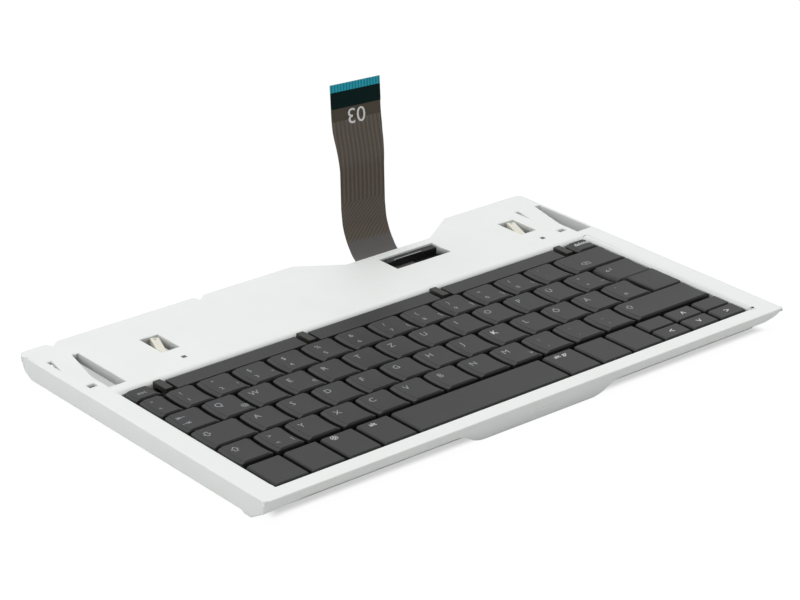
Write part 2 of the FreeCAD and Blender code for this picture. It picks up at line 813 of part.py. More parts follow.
def cap_block(name, width, depth, height, dished):
    """Outer form of a cap: one tapered block, or a skirt with a sloping shoulder on it."""
    if not dished:
        return frustum(name, width, depth, dim("cap_bevel"), height)
    draft = dim("cap_draft")
    skirt_height = height - dim("shoulder_drop")
    skirt = frustum(f"{name}_skirt", width, depth, draft, skirt_height)
    shoulder = frustum(f"{name}_shoulder", width - 2 * draft, depth - 2 * draft, dim("cap_shoulder"),
                       dim("shoulder_drop"))
    return fuse(name, [skirt, place(shoulder, z=skirt_height)])


def dish(name, width, depth, height, x, y):
    """The cylinder that hollows the top of a cap, lying along X."""
    top_depth = depth - 2 * (dim("cap_draft") + dim("cap_shoulder"))
    drop = dim("dish_drop")
    radius = top_depth * top_depth / (8 * drop) + drop / 2
    feature = doc.addObject("Part::Cylinder", name)
    feature.Placement.Rotation = FreeCAD.Rotation(V(0, 1, 0), -90)
    bind(feature, Radius=radius, Height=width + 2 * OVERSHOOT)
    return place(feature, x + width / 2 + OVERSHOOT, y, height - drop + radius)


def cap_shell(name, width, depth, height, dished, x=0.0, y=0.0):
    """A cap's outer form and the tools that hollow it."""
    solid = place(cap_block(f"{name}_block", width, depth, height, dished), x, y)
    wall = 2 * dim("cap_wall")
    inside = frustum(f"{name}_inside", width - wall, depth - wall, dim("cap_bevel") / 2, dim("cap_cavity"))
    tools = [place(inside, x, y)]
    if dished:
        tools.append(dish(f"{name}_trough", width, depth, height, x, y))
    return solid, tools


def enter_leg(key):
    """The part of the Enter key that runs down beside the home row, its dish next to the other one."""
    width = dim("key_pitch") * ENTER_LEG - dim("key_gap")
    near = dim("key_gap") / 2 - 1.5 * dim("row_pitch")
    far = 2 * (dim("cap_draft") + dim("cap_shoulder")) - key.depth / 2
    return cap_shell("cap_enter_leg", width, far - near, key.height, key.dished,
                     (key.width - width) / 2, (near + far) / 2)


def keycap(key):
    """One cap, placed at its cell."""
    solid, tools = cap_shell(f"cap_{key.name}", key.width, key.depth, key.height, key.dished)
    if key.name == "enter":
        leg, leg_tools = enter_leg(key)
        solid = fuse("cap_enter_whole", [solid, leg])
        tools += leg_tools
    cap = cut(f"cap_{key.name}", solid, tools)
    return place(cap, key.x, key.y, cap_bottom)


fixed_units = []
for key in KEYS:
    cap = keycap(key)
    if key.moving:
        node(cap, f"key_{key.name}")
    else:
        scissor = doc.addObject("Part::Feature", f"scissor_{key.name}")
        grip = cap_ceiling.value + dim("seat_clear").value
        scissor.Shape = Part.makeCompound(link_bars(key, grip))
        fixed_units.append(fuse(f"unit_{key.name}", [cap, scissor]))
fixed = doc.addObject("Part::Compound", "fixed_units")
fixed.Links = fixed_units
node(fixed, "fixed_key_units")


# Filler bars between the latch tabs

def filler_bar(index, start, end):
    """A long blank bar, hollow below."""
    near = strip_front + dim("key_gap") / 2
    far = strip_front + dim("strip_depth") - dim("key_gap") / 2
    top = deck_top - dim("bar_top_drop")
    wall = dim("bar_wall")
    outside = box(f"filler_block_{index}", start, end, near, far, sheet_top, top)
    inside = box(f"filler_inside_{index}", start + wall, end - wall, near + wall, far - wall,
                 sheet_top, top - wall)
    return cut(f"filler_{index}", outside, [inside])


half_latch = dim("latch_width") / 2 + dim("latch_gap")
last_latch = -rows_left - dim("end_key") - half_latch
middles = [last_latch * share for share in LATCH_PLACES]
bars = doc.addObject("Part::Compound", "fillers")
bars.Links = [filler_bar(index, middle + half_latch, following - half_latch)
              for index, (middle, following) in enumerate(zip(middles, middles[1:]))]
node(bars, "filler_bars")


# Latch tabs that hold the rear edge of the keyboard

def latch(index, middle):
    """A tab on a post at the rear wall of the well."""
    back = well_rear - dim("latch_back")
    half = dim("latch_width") / 2
    return fuse(f"latch_{index}", [
        box(f"latch_tab_{index}", middle - half, middle + half, back - dim("latch_reach"), back,
            deck_top - dim("latch_plate"), deck_top),
        box(f"latch_post_{index}", middle - half, middle + half, back - dim("latch_post"), back,
            sheet_top, deck_top),
    ])


latches = doc.addObject("Part::Compound", "latches")
latches.Links = [latch(index, middle) for index, middle in enumerate(middles)]
node(latches, "latch_tabs")


# Flex tail: out through the well's rear wall, under the shelf and up behind it

def tail_route(skew):
    """Side view of one edge of the tail as (y, z), from the membrane to the contact end.

    The standing part lies further back by skew.
    """
    start = well_rear - dim("sheet_inset")
    ramp = well_rear + dim("well_wall") + dim("tail_entry")
    recess = rear - dim("recess_depth") + skew
    foot = recess + dim("tail_bend_end")
    end = rear + dim("tail_overhang") - dim("tail_skew") + skew
    end_z = deck_top + dim("tail_rise")
    return [
        (start, plate_top),
        (ramp, plate_top),
        (ramp + dim("tail_ramp"), tail_run),
        (recess + dim("tail_bend_start"), tail_run),
        (foot, deck_top + dim("tail_bend_rise")),
        (foot + dim("tail_lean"), end_z - dim("tail_bow_low")),
        (end - dim("tail_bow_step"), end_z - dim("tail_bow_high")),
        (end, end_z),
    ]


def tail_edge(x, skew):
    """Corners of the tail along one of its edges."""
    return [V(x.value, y.value, z.value) for y, z in tail_route(skew)]


def rounded_path(points):
    """A wire of straight runs joined by tangent arcs as large as the shorter run allows."""
    edges = []
    last = points[0]
    for before, corner, after in zip(points, points[1:], points[2:]):
        into = (corner - before).normalize()
        out = (after - corner).normalize()
        turn = into.getAngle(out)
        reach = BEND_SHARE * min((corner - before).Length, (after - corner).Length)
        radius = reach / math.tan(turn / 2)
        inward = (out - into).normalize()
        centre = corner + inward * (radius / math.cos(turn / 2))
        enter = corner - into * reach
        leave = corner + out * reach
        edges.append(Part.LineSegment(last, enter).toShape())
        edges.append(Part.Arc(enter, centre - inward * radius, leave).toShape())
        last = leave
    edges.append(Part.LineSegment(last, points[-1]).toShape())
    return Part.Wire(edges)


def thick_outline(points, thick):
    """The side outline of a thin strip along a path."""
    return rounded_path(points).makeOffset2D(-thick, fill=True, openResult=True).OuterWire


def stiffener_outline(points):
    """The side outline of the flat strip on the front of the tail's contact end."""
    run = (points[-1] - points[-2]).normalize()
    forward = V(0, -run.z, run.y)
    top = points[-1] + forward * dim("tail_thick").value
    low = top - run * dim("stiffener_length").value
    depth = forward * dim("stiffener_thick").value
    return Part.makePolygon([low, top, top + depth, low + depth, low])


def tail_trim(name, edge, inward, foot_inset):
    """What is cut off along one edge: the waist below the contact end, and the foot's own inset."""
    end_z = deck_top + dim("tail_rise")
    head_low = end_z - dim("tail_head")
    waist = edge + inward * dim("tail_waist")
    foot = edge + inward * foot_inset
    outside = edge - inward * OVERSHOOT
    outline = profile(f"{name}_outline", "XZ", [
        (outside, -OVERSHOOT),
        (foot, -OVERSHOOT),
        (foot, deck_top + dim("tail_foot")),
        (waist, deck_top + dim("tail_waist_low")),
        (waist, head_low - dim("tail_taper")),
        (edge, head_low),
        (outside, head_low),
    ])
    place(outline, y=rear + dim("tail_overhang") + OVERSHOOT)
    return prism(name, outline, carrier_depth)


tail_edges = [tail_edge(tail_left, dim("tail_skew")), tail_edge(tail_right, -dim("tail_skew"))]
tail_outlines = [thick_outline(edge, dim("tail_thick").value) for edge in tail_edges]
strip = doc.addObject("Part::Feature", "tail_strip")
strip.Shape = Part.makeLoft(tail_outlines, True, True)
left_trim = tail_trim("left_trim", tail_left, 1, dim("tail_shift"))
right_trim = tail_trim("right_trim", tail_right, -1, as_size(0))
node(cut("tail", strip, [left_trim, right_trim]), "flex_tail")
stiffener = doc.addObject("Part::Feature", "stiffener")
stiffener.Shape = Part.makeLoft([stiffener_outline(edge) for edge in tail_edges], True, True)
node(stiffener, "tail_stiffener")


# Clamp in the slot, and the screws

def clamp_solids():
    """The plate, and the block on it that reaches over the tail into the slot with a bead on its edge."""
    gap = dim("clamp_block_clear")
    far = slot_rear - gap
    near = far - dim("clamp_block")
    top = deck_top - dim("clamp_block_drop")
    bead = dim("clamp_bead_size")
    bead_left = dim("slot_centre") - dim("clamp_bead_offset") - dim("clamp_bead") / 2
    return [
        box("clamp_plate", clamp_left, clamp_right, slot_front, slot_rear, clamp_under, clamp_top),
        box("clamp_leg", tail_right + dim("tail_slit"), slot_right - gap, near, far, clamp_top, slot_under),
        box("clamp_bridge", slot_left + gap, slot_right - gap, near, far, slot_under, top),
        box("clamp_ridge", bead_left, bead_left + dim("clamp_bead"), near, near + bead, top, top + bead),
    ]


clamp_holes = [few_sided(f"clamp_hole_{index}", x, y, clamp_under, clamp_top, screw_hole)
               for index, (x, y) in enumerate(clamp_screws)]
node(cut("clamp", fuse("clamp_body", clamp_solids()), clamp_holes), "tail_clamp")


def screw(name, x, y, seat):
    """A pan-headed screw whose head bears up against seat."""
    low = seat - dim("screw_head")
    return fuse(name, [
        few_sided(f"{name}_head", x, y, low, seat, dim("screw_head_radius")),
        few_sided(f"{name}_shank", x, y, low, seat + dim("screw_length"), dim("screw_radius")),
    ])


screw_seats = [(x, y, floor_under) for x, y in floor_screws] + [(x, y, clamp_under) for x, y in clamp_screws]
screws = doc.addObject("Part::Compound", "screws")
screws.Links = [screw(f"screw_{index}", x, y, seat) for index, (x, y, seat) in enumerate(screw_seats)]
node(screws, "screws")


# Checks and export
doc.recompute()
for feature in doc.Objects:
    if "Invalid" in feature.State or "Error" in feature.State:
        raise RuntimeError(f"{feature.Name} failed: {feature.State}")
for feature in NODES:
    if feature.Shape.isNull() or not feature.Shape.isValid():
        raise RuntimeError(f"{feature.Label} has no valid shape")
os.makedirs("parts", exist_ok=True)
for feature in NODES:
    feature.Shape.exportStep(f"parts/{feature.Label}.step")
print(len(NODES), "sub-parts")
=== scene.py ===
import bmesh
import bpy
import json
import math
from mathutils import Matrix, Vector

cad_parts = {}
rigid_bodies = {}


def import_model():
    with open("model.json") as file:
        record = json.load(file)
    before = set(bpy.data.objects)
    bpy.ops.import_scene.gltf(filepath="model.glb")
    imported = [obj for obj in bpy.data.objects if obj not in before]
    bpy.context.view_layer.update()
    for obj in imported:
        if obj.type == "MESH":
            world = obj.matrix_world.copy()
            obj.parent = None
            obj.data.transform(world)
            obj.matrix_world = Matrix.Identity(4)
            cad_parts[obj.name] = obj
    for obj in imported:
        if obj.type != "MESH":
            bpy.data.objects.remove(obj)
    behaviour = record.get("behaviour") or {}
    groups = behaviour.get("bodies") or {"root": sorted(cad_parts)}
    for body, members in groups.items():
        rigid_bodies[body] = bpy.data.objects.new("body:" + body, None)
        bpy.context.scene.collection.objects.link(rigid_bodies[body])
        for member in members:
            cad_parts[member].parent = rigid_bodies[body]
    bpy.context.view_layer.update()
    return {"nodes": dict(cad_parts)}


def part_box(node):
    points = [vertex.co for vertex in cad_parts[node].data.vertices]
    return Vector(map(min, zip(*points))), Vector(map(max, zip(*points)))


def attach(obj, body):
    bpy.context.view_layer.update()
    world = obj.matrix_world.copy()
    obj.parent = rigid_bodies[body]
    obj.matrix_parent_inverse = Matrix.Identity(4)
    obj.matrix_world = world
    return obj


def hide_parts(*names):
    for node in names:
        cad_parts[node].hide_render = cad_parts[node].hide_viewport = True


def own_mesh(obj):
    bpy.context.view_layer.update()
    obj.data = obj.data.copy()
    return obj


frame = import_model()

# Carrier tray
# The white body of the unit, injection moulded in one piece: deck, keyboard well, side walls, runners and
# the pull lip at the front. Everything else is set into it or screwed to it. The mould rounds its edges.
MM = 0.001
TINY = 0.02 * MM
TRAY_EDGE = 0.5 * MM
RIM_EDGE = 1.1 * MM
RIM_WIDE = 1.5 * MM
RIM_FILL = Vector((0.8, 1.3)) * MM
FRONT_CORNER = 2.2 * MM
TIP_CURVE = ((10.0, 5.4), (5.0, 6.2), (2.2, 7.2), (1.0, 8.0), (0.0, 8.8))
TIP_DEEP = 10.0 * MM
SKIRT_DEEP = 4.0 * MM
SKIRT_LOW = 5.4 * MM
FOOT_LONG = 20 * MM
FOOT_DROP = 0.9 * MM
DECK_THICK = 2.0 * MM
HEEL_LONG = 12.0 * MM
HEEL_HIGH = 7.4 * MM
HEEL_STEPS = 6
WALL_THICK = 2.3 * MM
PIN_OUT = Vector((1.3, 0.6)) * MM
PIN_RADIUS = 0.75 * MM
PIN_DEEP = 0.9 * MM
PLUG_RADIUS = 1.05 * MM
PLUG_LONG = 2.0 * MM
PIN_CLEAR = 2.0 * MM
DIMPLES = [Vector((-86.725, 36.2)) * MM, Vector((109.925, 36.2)) * MM]
DIMPLE_HALF = 1.1 * MM
SHARP = math.radians(35)
EVERY_FACE = 2
NOT_THE_DECK = 0.9


def activate(piece):
    """Makes one piece the only selected object."""
    bpy.ops.object.select_all(action="DESELECT")
    piece.select_set(True)
    bpy.context.view_layer.objects.active = piece


def merged_copy(node, name):
    """A copy of a solid whose loose triangles are joined into whole faces."""
    piece = bpy.data.objects.new(name, frame["nodes"][node].data.copy())
    bpy.context.scene.collection.objects.link(piece)
    piece.data.materials.clear()
    activate(piece)
    bpy.ops.mesh.customdata_custom_splitnormals_clear()
    bpy.ops.object.mode_set(mode="EDIT")
    bpy.ops.mesh.select_all(action="SELECT")
    bpy.ops.mesh.remove_doubles(threshold=0.001 * MM)
    bpy.ops.mesh.dissolve_limited(angle_limit=math.radians(0.5))
    bpy.ops.object.mode_set(mode="OBJECT")
    return piece


def apply_all(piece):
    """Applies every modifier of a piece, in order."""
    activate(piece)
    for modifier in list(piece.modifiers):
        bpy.ops.object.modifier_apply(modifier=modifier.name)


def even_shading(piece, sharp=SHARP):
    """Shades rounded edges smoothly and keeps flat faces flat."""
    activate(piece)
    bpy.ops.object.shade_smooth_by_angle(angle=sharp)
    piece.modifiers.new("flat_faces", "WEIGHTED_NORMAL")
    apply_all(piece)


def choose(piece, kind, wanted):
    """Selects the faces, edges or verts of a piece in edit mode for which wanted is true."""
    bpy.ops.mesh.select_mode(type={"faces": "FACE", "edges": "EDGE", "verts": "VERT"}[kind])
    bpy.ops.mesh.select_all(action="DESELECT")
    form = bmesh.from_edit_mesh(piece.data)
    for part in getattr(form, kind):
        if wanted(part):
            part.select_set(True)
    form.select_flush_mode()
    bmesh.update_edit_mesh(piece.data)


def shade(red, green, blue):
    """A colour in 0 to 255 as the eye sees it, made linear for the shader."""
    def linear(value):
        value = value / 255
        return value / 12.92 if value < 0.04045 else ((value + 0.055) / 1.055) ** 2.4
    return (linear(red), linear(green), linear(blue), 1)


def feed(tree, node, values):
    """Gives inputs of a node fixed values or what other nodes put out, and returns its own outputs."""
    for name, value in values.items():
        if isinstance(value, bpy.types.NodeSocket):
            tree.links.new(value, node.inputs[name])
        else:
            node.inputs[name].default_value = value
    return node.outputs


def add_node(tree, kind, values=(), **settings):
    """The outputs of a new node with its settings and inputs."""
    node = tree.nodes.new(kind)
    for name, setting in settings.items():
        setattr(node, name, setting)
    return feed(tree, node, dict(values))


def mixed_colour(tree, share, first, second):
    """A colour between two others, by a share that varies."""
    ends = {"Factor": share, "A": first, "B": second}
    return add_node(tree, "ShaderNodeMix", ends, data_type="RGBA")["Result"]


def grain_group():
    """Moulded surface: slow mottling of the colour, fine grain in the gloss and in the relief."""
    group = bpy.data.node_groups.new("moulded_grain", "ShaderNodeTree")
    for way, kind, names in (("INPUT", "Color", ("Colour", "Deep colour")),
                             ("INPUT", "Float", ("Mottle scale", "Grain scale", "Glossy", "Matt", "Relief")),
                             ("OUTPUT", "Color", ("Colour",)), ("OUTPUT", "Float", ("Roughness",)),
                             ("OUTPUT", "Vector", ("Normal",))):
        for name in names:
            group.interface.new_socket(name, in_out=way, socket_type=f"NodeSocket{kind}")
    given = add_node(group, "NodeGroupInput")
    place = add_node(group, "ShaderNodeTexCoord")["Object"]
    mottle, grain = [add_node(group, "ShaderNodeTexNoise",
                              {"Vector": place, "Scale": given[scale], "Detail": detail})["Fac"]
                     for scale, detail in (("Mottle scale", 3), ("Grain scale", 2))]
    gloss = {"Value": grain, "To Min": given["Glossy"], "To Max": given["Matt"]}
    relief = {"Strength": given["Relief"], "Distance": 0.05 * MM, "Height": grain}
    add_node(group, "NodeGroupOutput", {
        "Colour": mixed_colour(group, mottle, given["Colour"], given["Deep colour"]),
        "Roughness": add_node(group, "ShaderNodeMapRange", gloss)["Result"],
        "Normal": add_node(group, "ShaderNodeBump", relief)["Normal"]})
    return group


GRAIN = grain_group()


def new_material(name):
    """A material with its node tree and its shader."""
    material = bpy.data.materials.new(name)
    material.use_nodes = True
    return material, material.node_tree, material.node_tree.nodes["Principled BSDF"]


def moulded(name, colour, deep, gloss=(0.4, 0.55), mottle=60, grain=2200, relief=0.25):
    """A solid material with the moulded grain on it."""
    material, tree, shader = new_material(name)
    surface = add_node(tree, "ShaderNodeGroup", {
        "Colour": colour, "Deep colour": deep, "Mottle scale": mottle, "Grain scale": grain,
        "Glossy": gloss[0], "Matt": gloss[1], "Relief": relief}, node_tree=GRAIN)
    feed(tree, shader, {"Base Color": surface["Colour"], "Roughness": surface["Roughness"],
                        "Normal": surface["Normal"]})
    return material


def seat(piece, body, slot, *nodes):
    """Gives a piece the body it moves with and hides the solids that it stands for; slot is not used."""
    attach(piece, body)
    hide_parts(*nodes)


def dress(piece, material, body, slot, *nodes):
    """Gives a piece its finish and seats it."""
    piece.data.materials.append(material)
    seat(piece, body, slot, *nodes)


white_plastic = moulded("white_plastic", shade(233, 236, 234), shade(228, 231, 229), gloss=(0.4, 0.52),
                        relief=0.12)
# Near-black finish painted into the pin hole: painted shade in the hole.
pin_hole_painted_shade = moulded("pin_hole_painted_shade", shade(24, 24, 24), shade(14, 14, 14), gloss=(0.6, 0.8))
# Grey finish painted on the floors of the two dimples: painted shade in the shallow recesses.
dimple_painted_shade = moulded("dimple_painted_shade", shade(150, 152, 151), shade(136, 138, 137), gloss=(0.5, 0.7))
tray_low, tray_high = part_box("carrier_tray")
WELL_RIGHT = 125.625 * MM
WELL_FRONT = -78.2 * MM
WELL_REAR = 25.5 * MM
tray_rear_end = 79.15 * MM
tray = merged_copy("carrier_tray", "tray_body")
pin_place = Vector((WELL_RIGHT, WELL_FRONT)) + PIN_OUT


def near(vert, place, reach):
    """Whether a corner of the mesh lies in a square round a place of the plan."""
    return abs(vert.co.x - place.x) < reach and abs(vert.co.y - place.y) < reach


def on_soft_rim(edge):
    """Whether an edge of the deck runs along the rear or the right side of the well's mouth."""
    return all(vert.co.z > tray_high.z - TINY
               and -WELL_RIGHT - RIM_WIDE < vert.co.x < WELL_RIGHT + RIM_WIDE + TINY
               and WELL_FRONT < vert.co.y < WELL_REAR + RIM_WIDE + TINY for vert in edge.verts)


def rounded_by_mould(edge):
    """Whether an edge is sharp, in sight and clear of the front corners, the heels and the small holes."""
    for vert in edge.verts:
        at_side = abs(vert.co.x) > tray_high.x - FRONT_CORNER + TINY
        if at_side and vert.co.y < tray_low.y + FRONT_CORNER - TINY:
            return False
        if at_side and vert.co.y > tray_rear_end - WALL_THICK and vert.co.z < tray_high.z - TINY:
            return False
        at_skirt = vert.co.y < tray_low.y + SKIRT_DEEP or abs(vert.co.x) > tray_high.x - TINY
        if not at_skirt and vert.co.z < tray_high.z - DECK_THICK - TINY:
            return False
        if near(vert, pin_place, PIN_CLEAR - TINY):
            return False
        if any(near(vert, spot, 2 * DIMPLE_HALF) for spot in DIMPLES):
            return False
    return edge.is_manifold and edge.calc_face_angle() > SHARP


def tip_lift(x):
    """How far the lower edge of the front wall lies above the ground near the right corner."""
    stations = [(tray_high.x - back * MM, high * MM) for back, high in TIP_CURVE]
    for (start, low), (end, high) in zip(stations, stations[1:]):
        if x <= end + TINY:
            return 0 if x < start - TINY else low + (high - low) * (x - start) / (end - start)
    return stations[-1][1]


def heel_lift(y):
    """How far the lower edge of a side wall lies above the ground near its rear end."""
    into = (y - tray_rear_end + HEEL_LONG) / HEEL_LONG
    return HEEL_HIGH * (1 - math.sqrt(max(0, 1 - max(0, into) ** 2)))


activate(tray)
bpy.ops.object.mode_set(mode="EDIT")
cuts = [("x", pin_place.x - PIN_CLEAR), ("y", pin_place.y + PIN_CLEAR), ("y", tray_low.y + FRONT_CORNER),
        ("x", tray_low.x + FRONT_CORNER), ("x", tray_high.x - FRONT_CORNER)]
cuts = [(*cut, EVERY_FACE) for cut in cuts]
cuts += [("y", tray_rear_end - HEEL_LONG * step / HEEL_STEPS, NOT_THE_DECK)
         for step in range(1, HEEL_STEPS + 1)]
cuts += [("x", tray_high.x - back * MM, NOT_THE_DECK) for back, _ in TIP_CURVE[:-1]]
cuts.append(("x", tray_low.x + FOOT_LONG, NOT_THE_DECK))
for axis, place, steepest in cuts:
    choose(tray, "faces", lambda face: face.normal.z < steepest)
    bpy.ops.mesh.bisect(plane_co=(place, place, 0), plane_no=(1, 0, 0) if axis == "x" else (0, 1, 0))
form = bmesh.from_edit_mesh(tray.data)
for vert in form.verts:
    lift = 0
    if vert.co.y < tray_low.y + TIP_DEEP:
        lift = tip_lift(vert.co.x)
    if vert.co.y < tray_low.y + SKIRT_DEEP and abs(vert.co.z - SKIRT_LOW) < TINY:
        vert.co.z -= FOOT_DROP * max(0, 1 - (vert.co.x - tray_low.x) / FOOT_LONG)
    if abs(vert.co.x) > tray_high.x - WALL_THICK and vert.co.z < HEEL_HIGH:
        lift = max(lift, heel_lift(vert.co.y))
    vert.co.z = max(vert.co.z, lift)
bmesh.update_edit_mesh(tray.data)
choose(tray, "verts", lambda vert: vert.co.z > tray_high.z - TINY
       and abs(vert.co.x + WELL_RIGHT + RIM_WIDE) < TINY and vert.co.y < WELL_REAR + 2 * RIM_WIDE)
bpy.ops.transform.translate(value=(RIM_FILL.x, 0, 0))
choose(tray, "verts", lambda vert: vert.co.z > tray_high.z - TINY
       and abs(vert.co.y - WELL_FRONT + RIM_WIDE) < TINY and vert.co.x < pin_place.x - PIN_CLEAR + TINY)
bpy.ops.transform.translate(value=(0, RIM_FILL.y, 0))
choose(tray, "edges", lambda edge: on_soft_rim(edge) and rounded_by_mould(edge))
bpy.ops.mesh.bevel(offset=RIM_EDGE, segments=4, affect="EDGES", clamp_overlap=False)
choose(tray, "edges", rounded_by_mould)
bpy.ops.mesh.bevel(offset=TRAY_EDGE, segments=2, affect="EDGES", clamp_overlap=False)
bpy.ops.object.mode_set(mode="OBJECT")
even_shading(tray)


def paint(piece, material, wanted):
    """Gives the faces of a piece for which wanted is true a second finish."""
    piece.data.materials.append(material)
    piece.active_material_index = len(piece.data.materials) - 1
    activate(piece)
    bpy.ops.object.mode_set(mode="EDIT")
    choose(piece, "faces", wanted)
    bpy.ops.object.material_slot_assign()
    bpy.ops.object.mode_set(mode="OBJECT")


def inside_hole(face, place, reach):
    """Whether a face lies in a small hole of the deck."""
    inside = all((vert.co.to_2d() - place).length < reach + TINY for vert in face.verts)
    return inside and face.calc_center_median().z < tray_high.z - 4 * TINY


def rod(radius, high, foot=(0, 0, 0), sides=24):
    """An upright cylinder that stands on a place."""
    bpy.ops.object.select_all(action="DESELECT")
    bpy.ops.mesh.primitive_cylinder_add(vertices=sides, radius=radius, depth=high,
                                        location=(foot[0], foot[1], foot[2] + high / 2))
    bpy.ops.object.transform_apply(location=True, rotation=True, scale=True)
    return bpy.context.object


def facing(direction):
    """A test for faces that point along a direction."""
    return lambda face: face.normal.dot(Vector(direction)) > 0.9


tray.data.materials.append(white_plastic)
# The floors of the two dimples are painted grey: painted shade in the recesses.
paint(tray, dimple_painted_shade, lambda face: any(inside_hole(face, spot, 1.5 * DIMPLE_HALF) for spot in DIMPLES))
plug = rod(PLUG_RADIUS, PLUG_LONG, (*pin_place, tray_high.z - TINY - PLUG_LONG))
bpy.ops.object.mode_set(mode="EDIT")
choose(plug, "faces", facing((0, 0, 1)))
bpy.ops.mesh.inset(thickness=PLUG_RADIUS - PIN_RADIUS)
bpy.ops.mesh.extrude_region_move(TRANSFORM_OT_translate={"value": (0, 0, -PIN_DEEP)})
bpy.ops.object.mode_set(mode="OBJECT")
even_shading(plug)
plug.data.materials.append(white_plastic)
# The wall and floor of the pin hole are painted near-black: painted shade in the hole.
paint(plug, pin_hole_painted_shade, lambda face: inside_hole(face, pin_place, PIN_RADIUS))

# Hatched mark on the pull lip
# A small field of slanting ribs that the mould leaves standing on the front face, beside the middle.
# It is part of the tray and leans back with the front face.
MARK_LEFT = -4.2 * MM
MARK_RIGHT = 7.4 * MM
MARK_LOW = 2.8 * MM
MARK_HIGH = 6.0 * MM
MARK_RIBS = 7
RIB_WIDE = 0.5 * MM
RIB_PROUD = 0.12 * MM
RIB_SLANT = math.radians(35)
FRONT_LEAN = 2.6 * MM


def soften(piece, width, segments=2, sharp=SHARP):
    """Rounds every edge of a piece that is sharper than the given angle."""
    bevel = piece.modifiers.new("soft_edges", "BEVEL")
    bevel.width = width
    bevel.segments = segments
    bevel.limit_method = "ANGLE"
    bevel.angle_limit = sharp
    bevel.use_clamp_overlap = False
    apply_all(piece)
    even_shading(piece, sharp)


def cuboid(size, place=(0, 0, 0), turn=(0, 0, 0)):
    """A box of a size at a place, turned there."""
    bpy.ops.object.select_all(action="DESELECT")
    bpy.ops.mesh.primitive_cube_add(size=1, location=place, rotation=turn, scale=size)
    bpy.ops.object.transform_apply(location=True, rotation=True, scale=True)
    return bpy.context.object


lean_share = FRONT_LEAN / tray_high.z
mark_ribs = []
for step in range(MARK_RIBS):
    middle_z = (MARK_LOW + MARK_HIGH) / 2
    middle_x = MARK_LEFT + (step + 0.5) * (MARK_RIGHT - MARK_LEFT) / MARK_RIBS
    front_y = tray_low.y + lean_share * (tray_high.z - middle_z)
    rib = cuboid((RIB_WIDE, 2 * RIB_PROUD, MARK_HIGH - MARK_LOW), (middle_x, front_y, middle_z),
                 (math.atan(lean_share), RIB_SLANT, 0))
    soften(rib, RIB_PROUD / 3, segments=1)
    mark_ribs.append(rib)


def join(pieces):
    """Makes several pieces one object, which keeps the name and place of the first."""
    activate(pieces[0])
    for piece in pieces:
        piece.select_set(True)
    bpy.ops.object.join()
    return pieces[0]


tray = join([tray, plug] + mark_ribs)
seat(tray, "tray", "tray_white", "carrier_tray")

# Catch arms
# Two springy cream arms that snap the tray to its rails. Each is moulded apart from the tray, crosses a
# window of the shelf at a slant from its front end and has an eye near the free tip.
ARM_EDGE = 0.3 * MM
cream_plastic = moulded("cream_plastic", shade(228, 225, 214), shade(220, 216, 203), gloss=(0.35, 0.5))
for side in ("left", "right"):
    arm = merged_copy(f"{side}_catch_arm", f"{side}_arm")
    soften(arm, ARM_EDGE)
    dress(arm, cream_plastic, "tray", "catch_cream", f"{side}_catch_arm")

# Base plate
# The stamped steel sheet that carries the keyboard, screwed to the floor of the well from below.
# Cold-rolled and zinc plated, with faint rolling lines along its length.
PLATE_EDGE = 0.1 * MM
ROLLING = (40, 1500, 1500)


def rolled_steel(name):
    """Plated sheet with rolling lines along X."""
    material, tree, shader = new_material(name)
    place = add_node(tree, "ShaderNodeTexCoord")["Object"]
    drawn_out = add_node(tree, "ShaderNodeMapping", {"Vector": place, "Scale": ROLLING})["Vector"]
    lines = add_node(tree, "ShaderNodeTexNoise", {"Vector": drawn_out, "Scale": 1})["Fac"]
    gloss = add_node(tree, "ShaderNodeMapRange", {"Value": lines, "To Min": 0.28, "To Max": 0.48})["Result"]
    colour = mixed_colour(tree, lines, shade(150, 152, 155), shade(190, 192, 194))
    feed(tree, shader, {"Metallic": 1, "Base Color": colour, "Roughness": gloss})
    return material


plate_steel = rolled_steel("plate_steel")
plate = merged_copy("keyboard_base_plate", "base_plate")
soften(plate, PLATE_EDGE, segments=1)
dress(plate, plate_steel, "tray", "plate_steel", "keyboard_base_plate")

# Membrane
# The printed contact film that lies on the plate under all the keys: polyester, smoky and a little glossy.
MEMBRANE_EDGE = 0.05 * MM
membrane_film = moulded("membrane_film", shade(70, 74, 80), shade(48, 50, 56), gloss=(0.2, 0.35), mottle=300,
                        relief=0.05)
membrane = merged_copy("membrane_sheet", "membrane")
soften(membrane, MEMBRANE_EDGE, segments=1)
dress(membrane, membrane_film, "tray", "membrane_film", "membrane_sheet")

# Rubber domes and scissor links
# Under every cap stands a black silicone dome that springs it back, between two crossed pairs of acetal
# links that keep it level. The domes are moulded on one thin sheet, which lies on the membrane.
DOME_FOOT = 1.75 * MM
DOME_CROWN = 1.05 * MM
CROWN_WALL = 0.4 * MM
CROWN_DEEP = 0.5 * MM
DOME_EDGE = 0.15 * MM
DOME_SHARP = math.radians(50)
LINK_INNER = 2.15 * MM
LINK_OUTER = 2.75 * MM
LINK_BAR = 0.5 * MM
LINK_THICK = 0.45 * MM
LINK_REACH = 0.26
LINK_EDGE = 0.08 * MM
SHEET_THICK = 0.3 * MM
SHEET_EDGE = 0.08 * MM
sheet_low, domes_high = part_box("dome_sheet")
sheet_top = sheet_low.z + SHEET_THICK
dome_height = domes_high.z - sheet_top
black_rubber = moulded("black_rubber", shade(28, 28, 30), shade(18, 18, 20), gloss=(0.5, 0.7), mottle=150)
link_plastic = moulded("link_plastic", shade(205, 204, 198), shade(190, 188, 182), gloss=(0.35, 0.5))


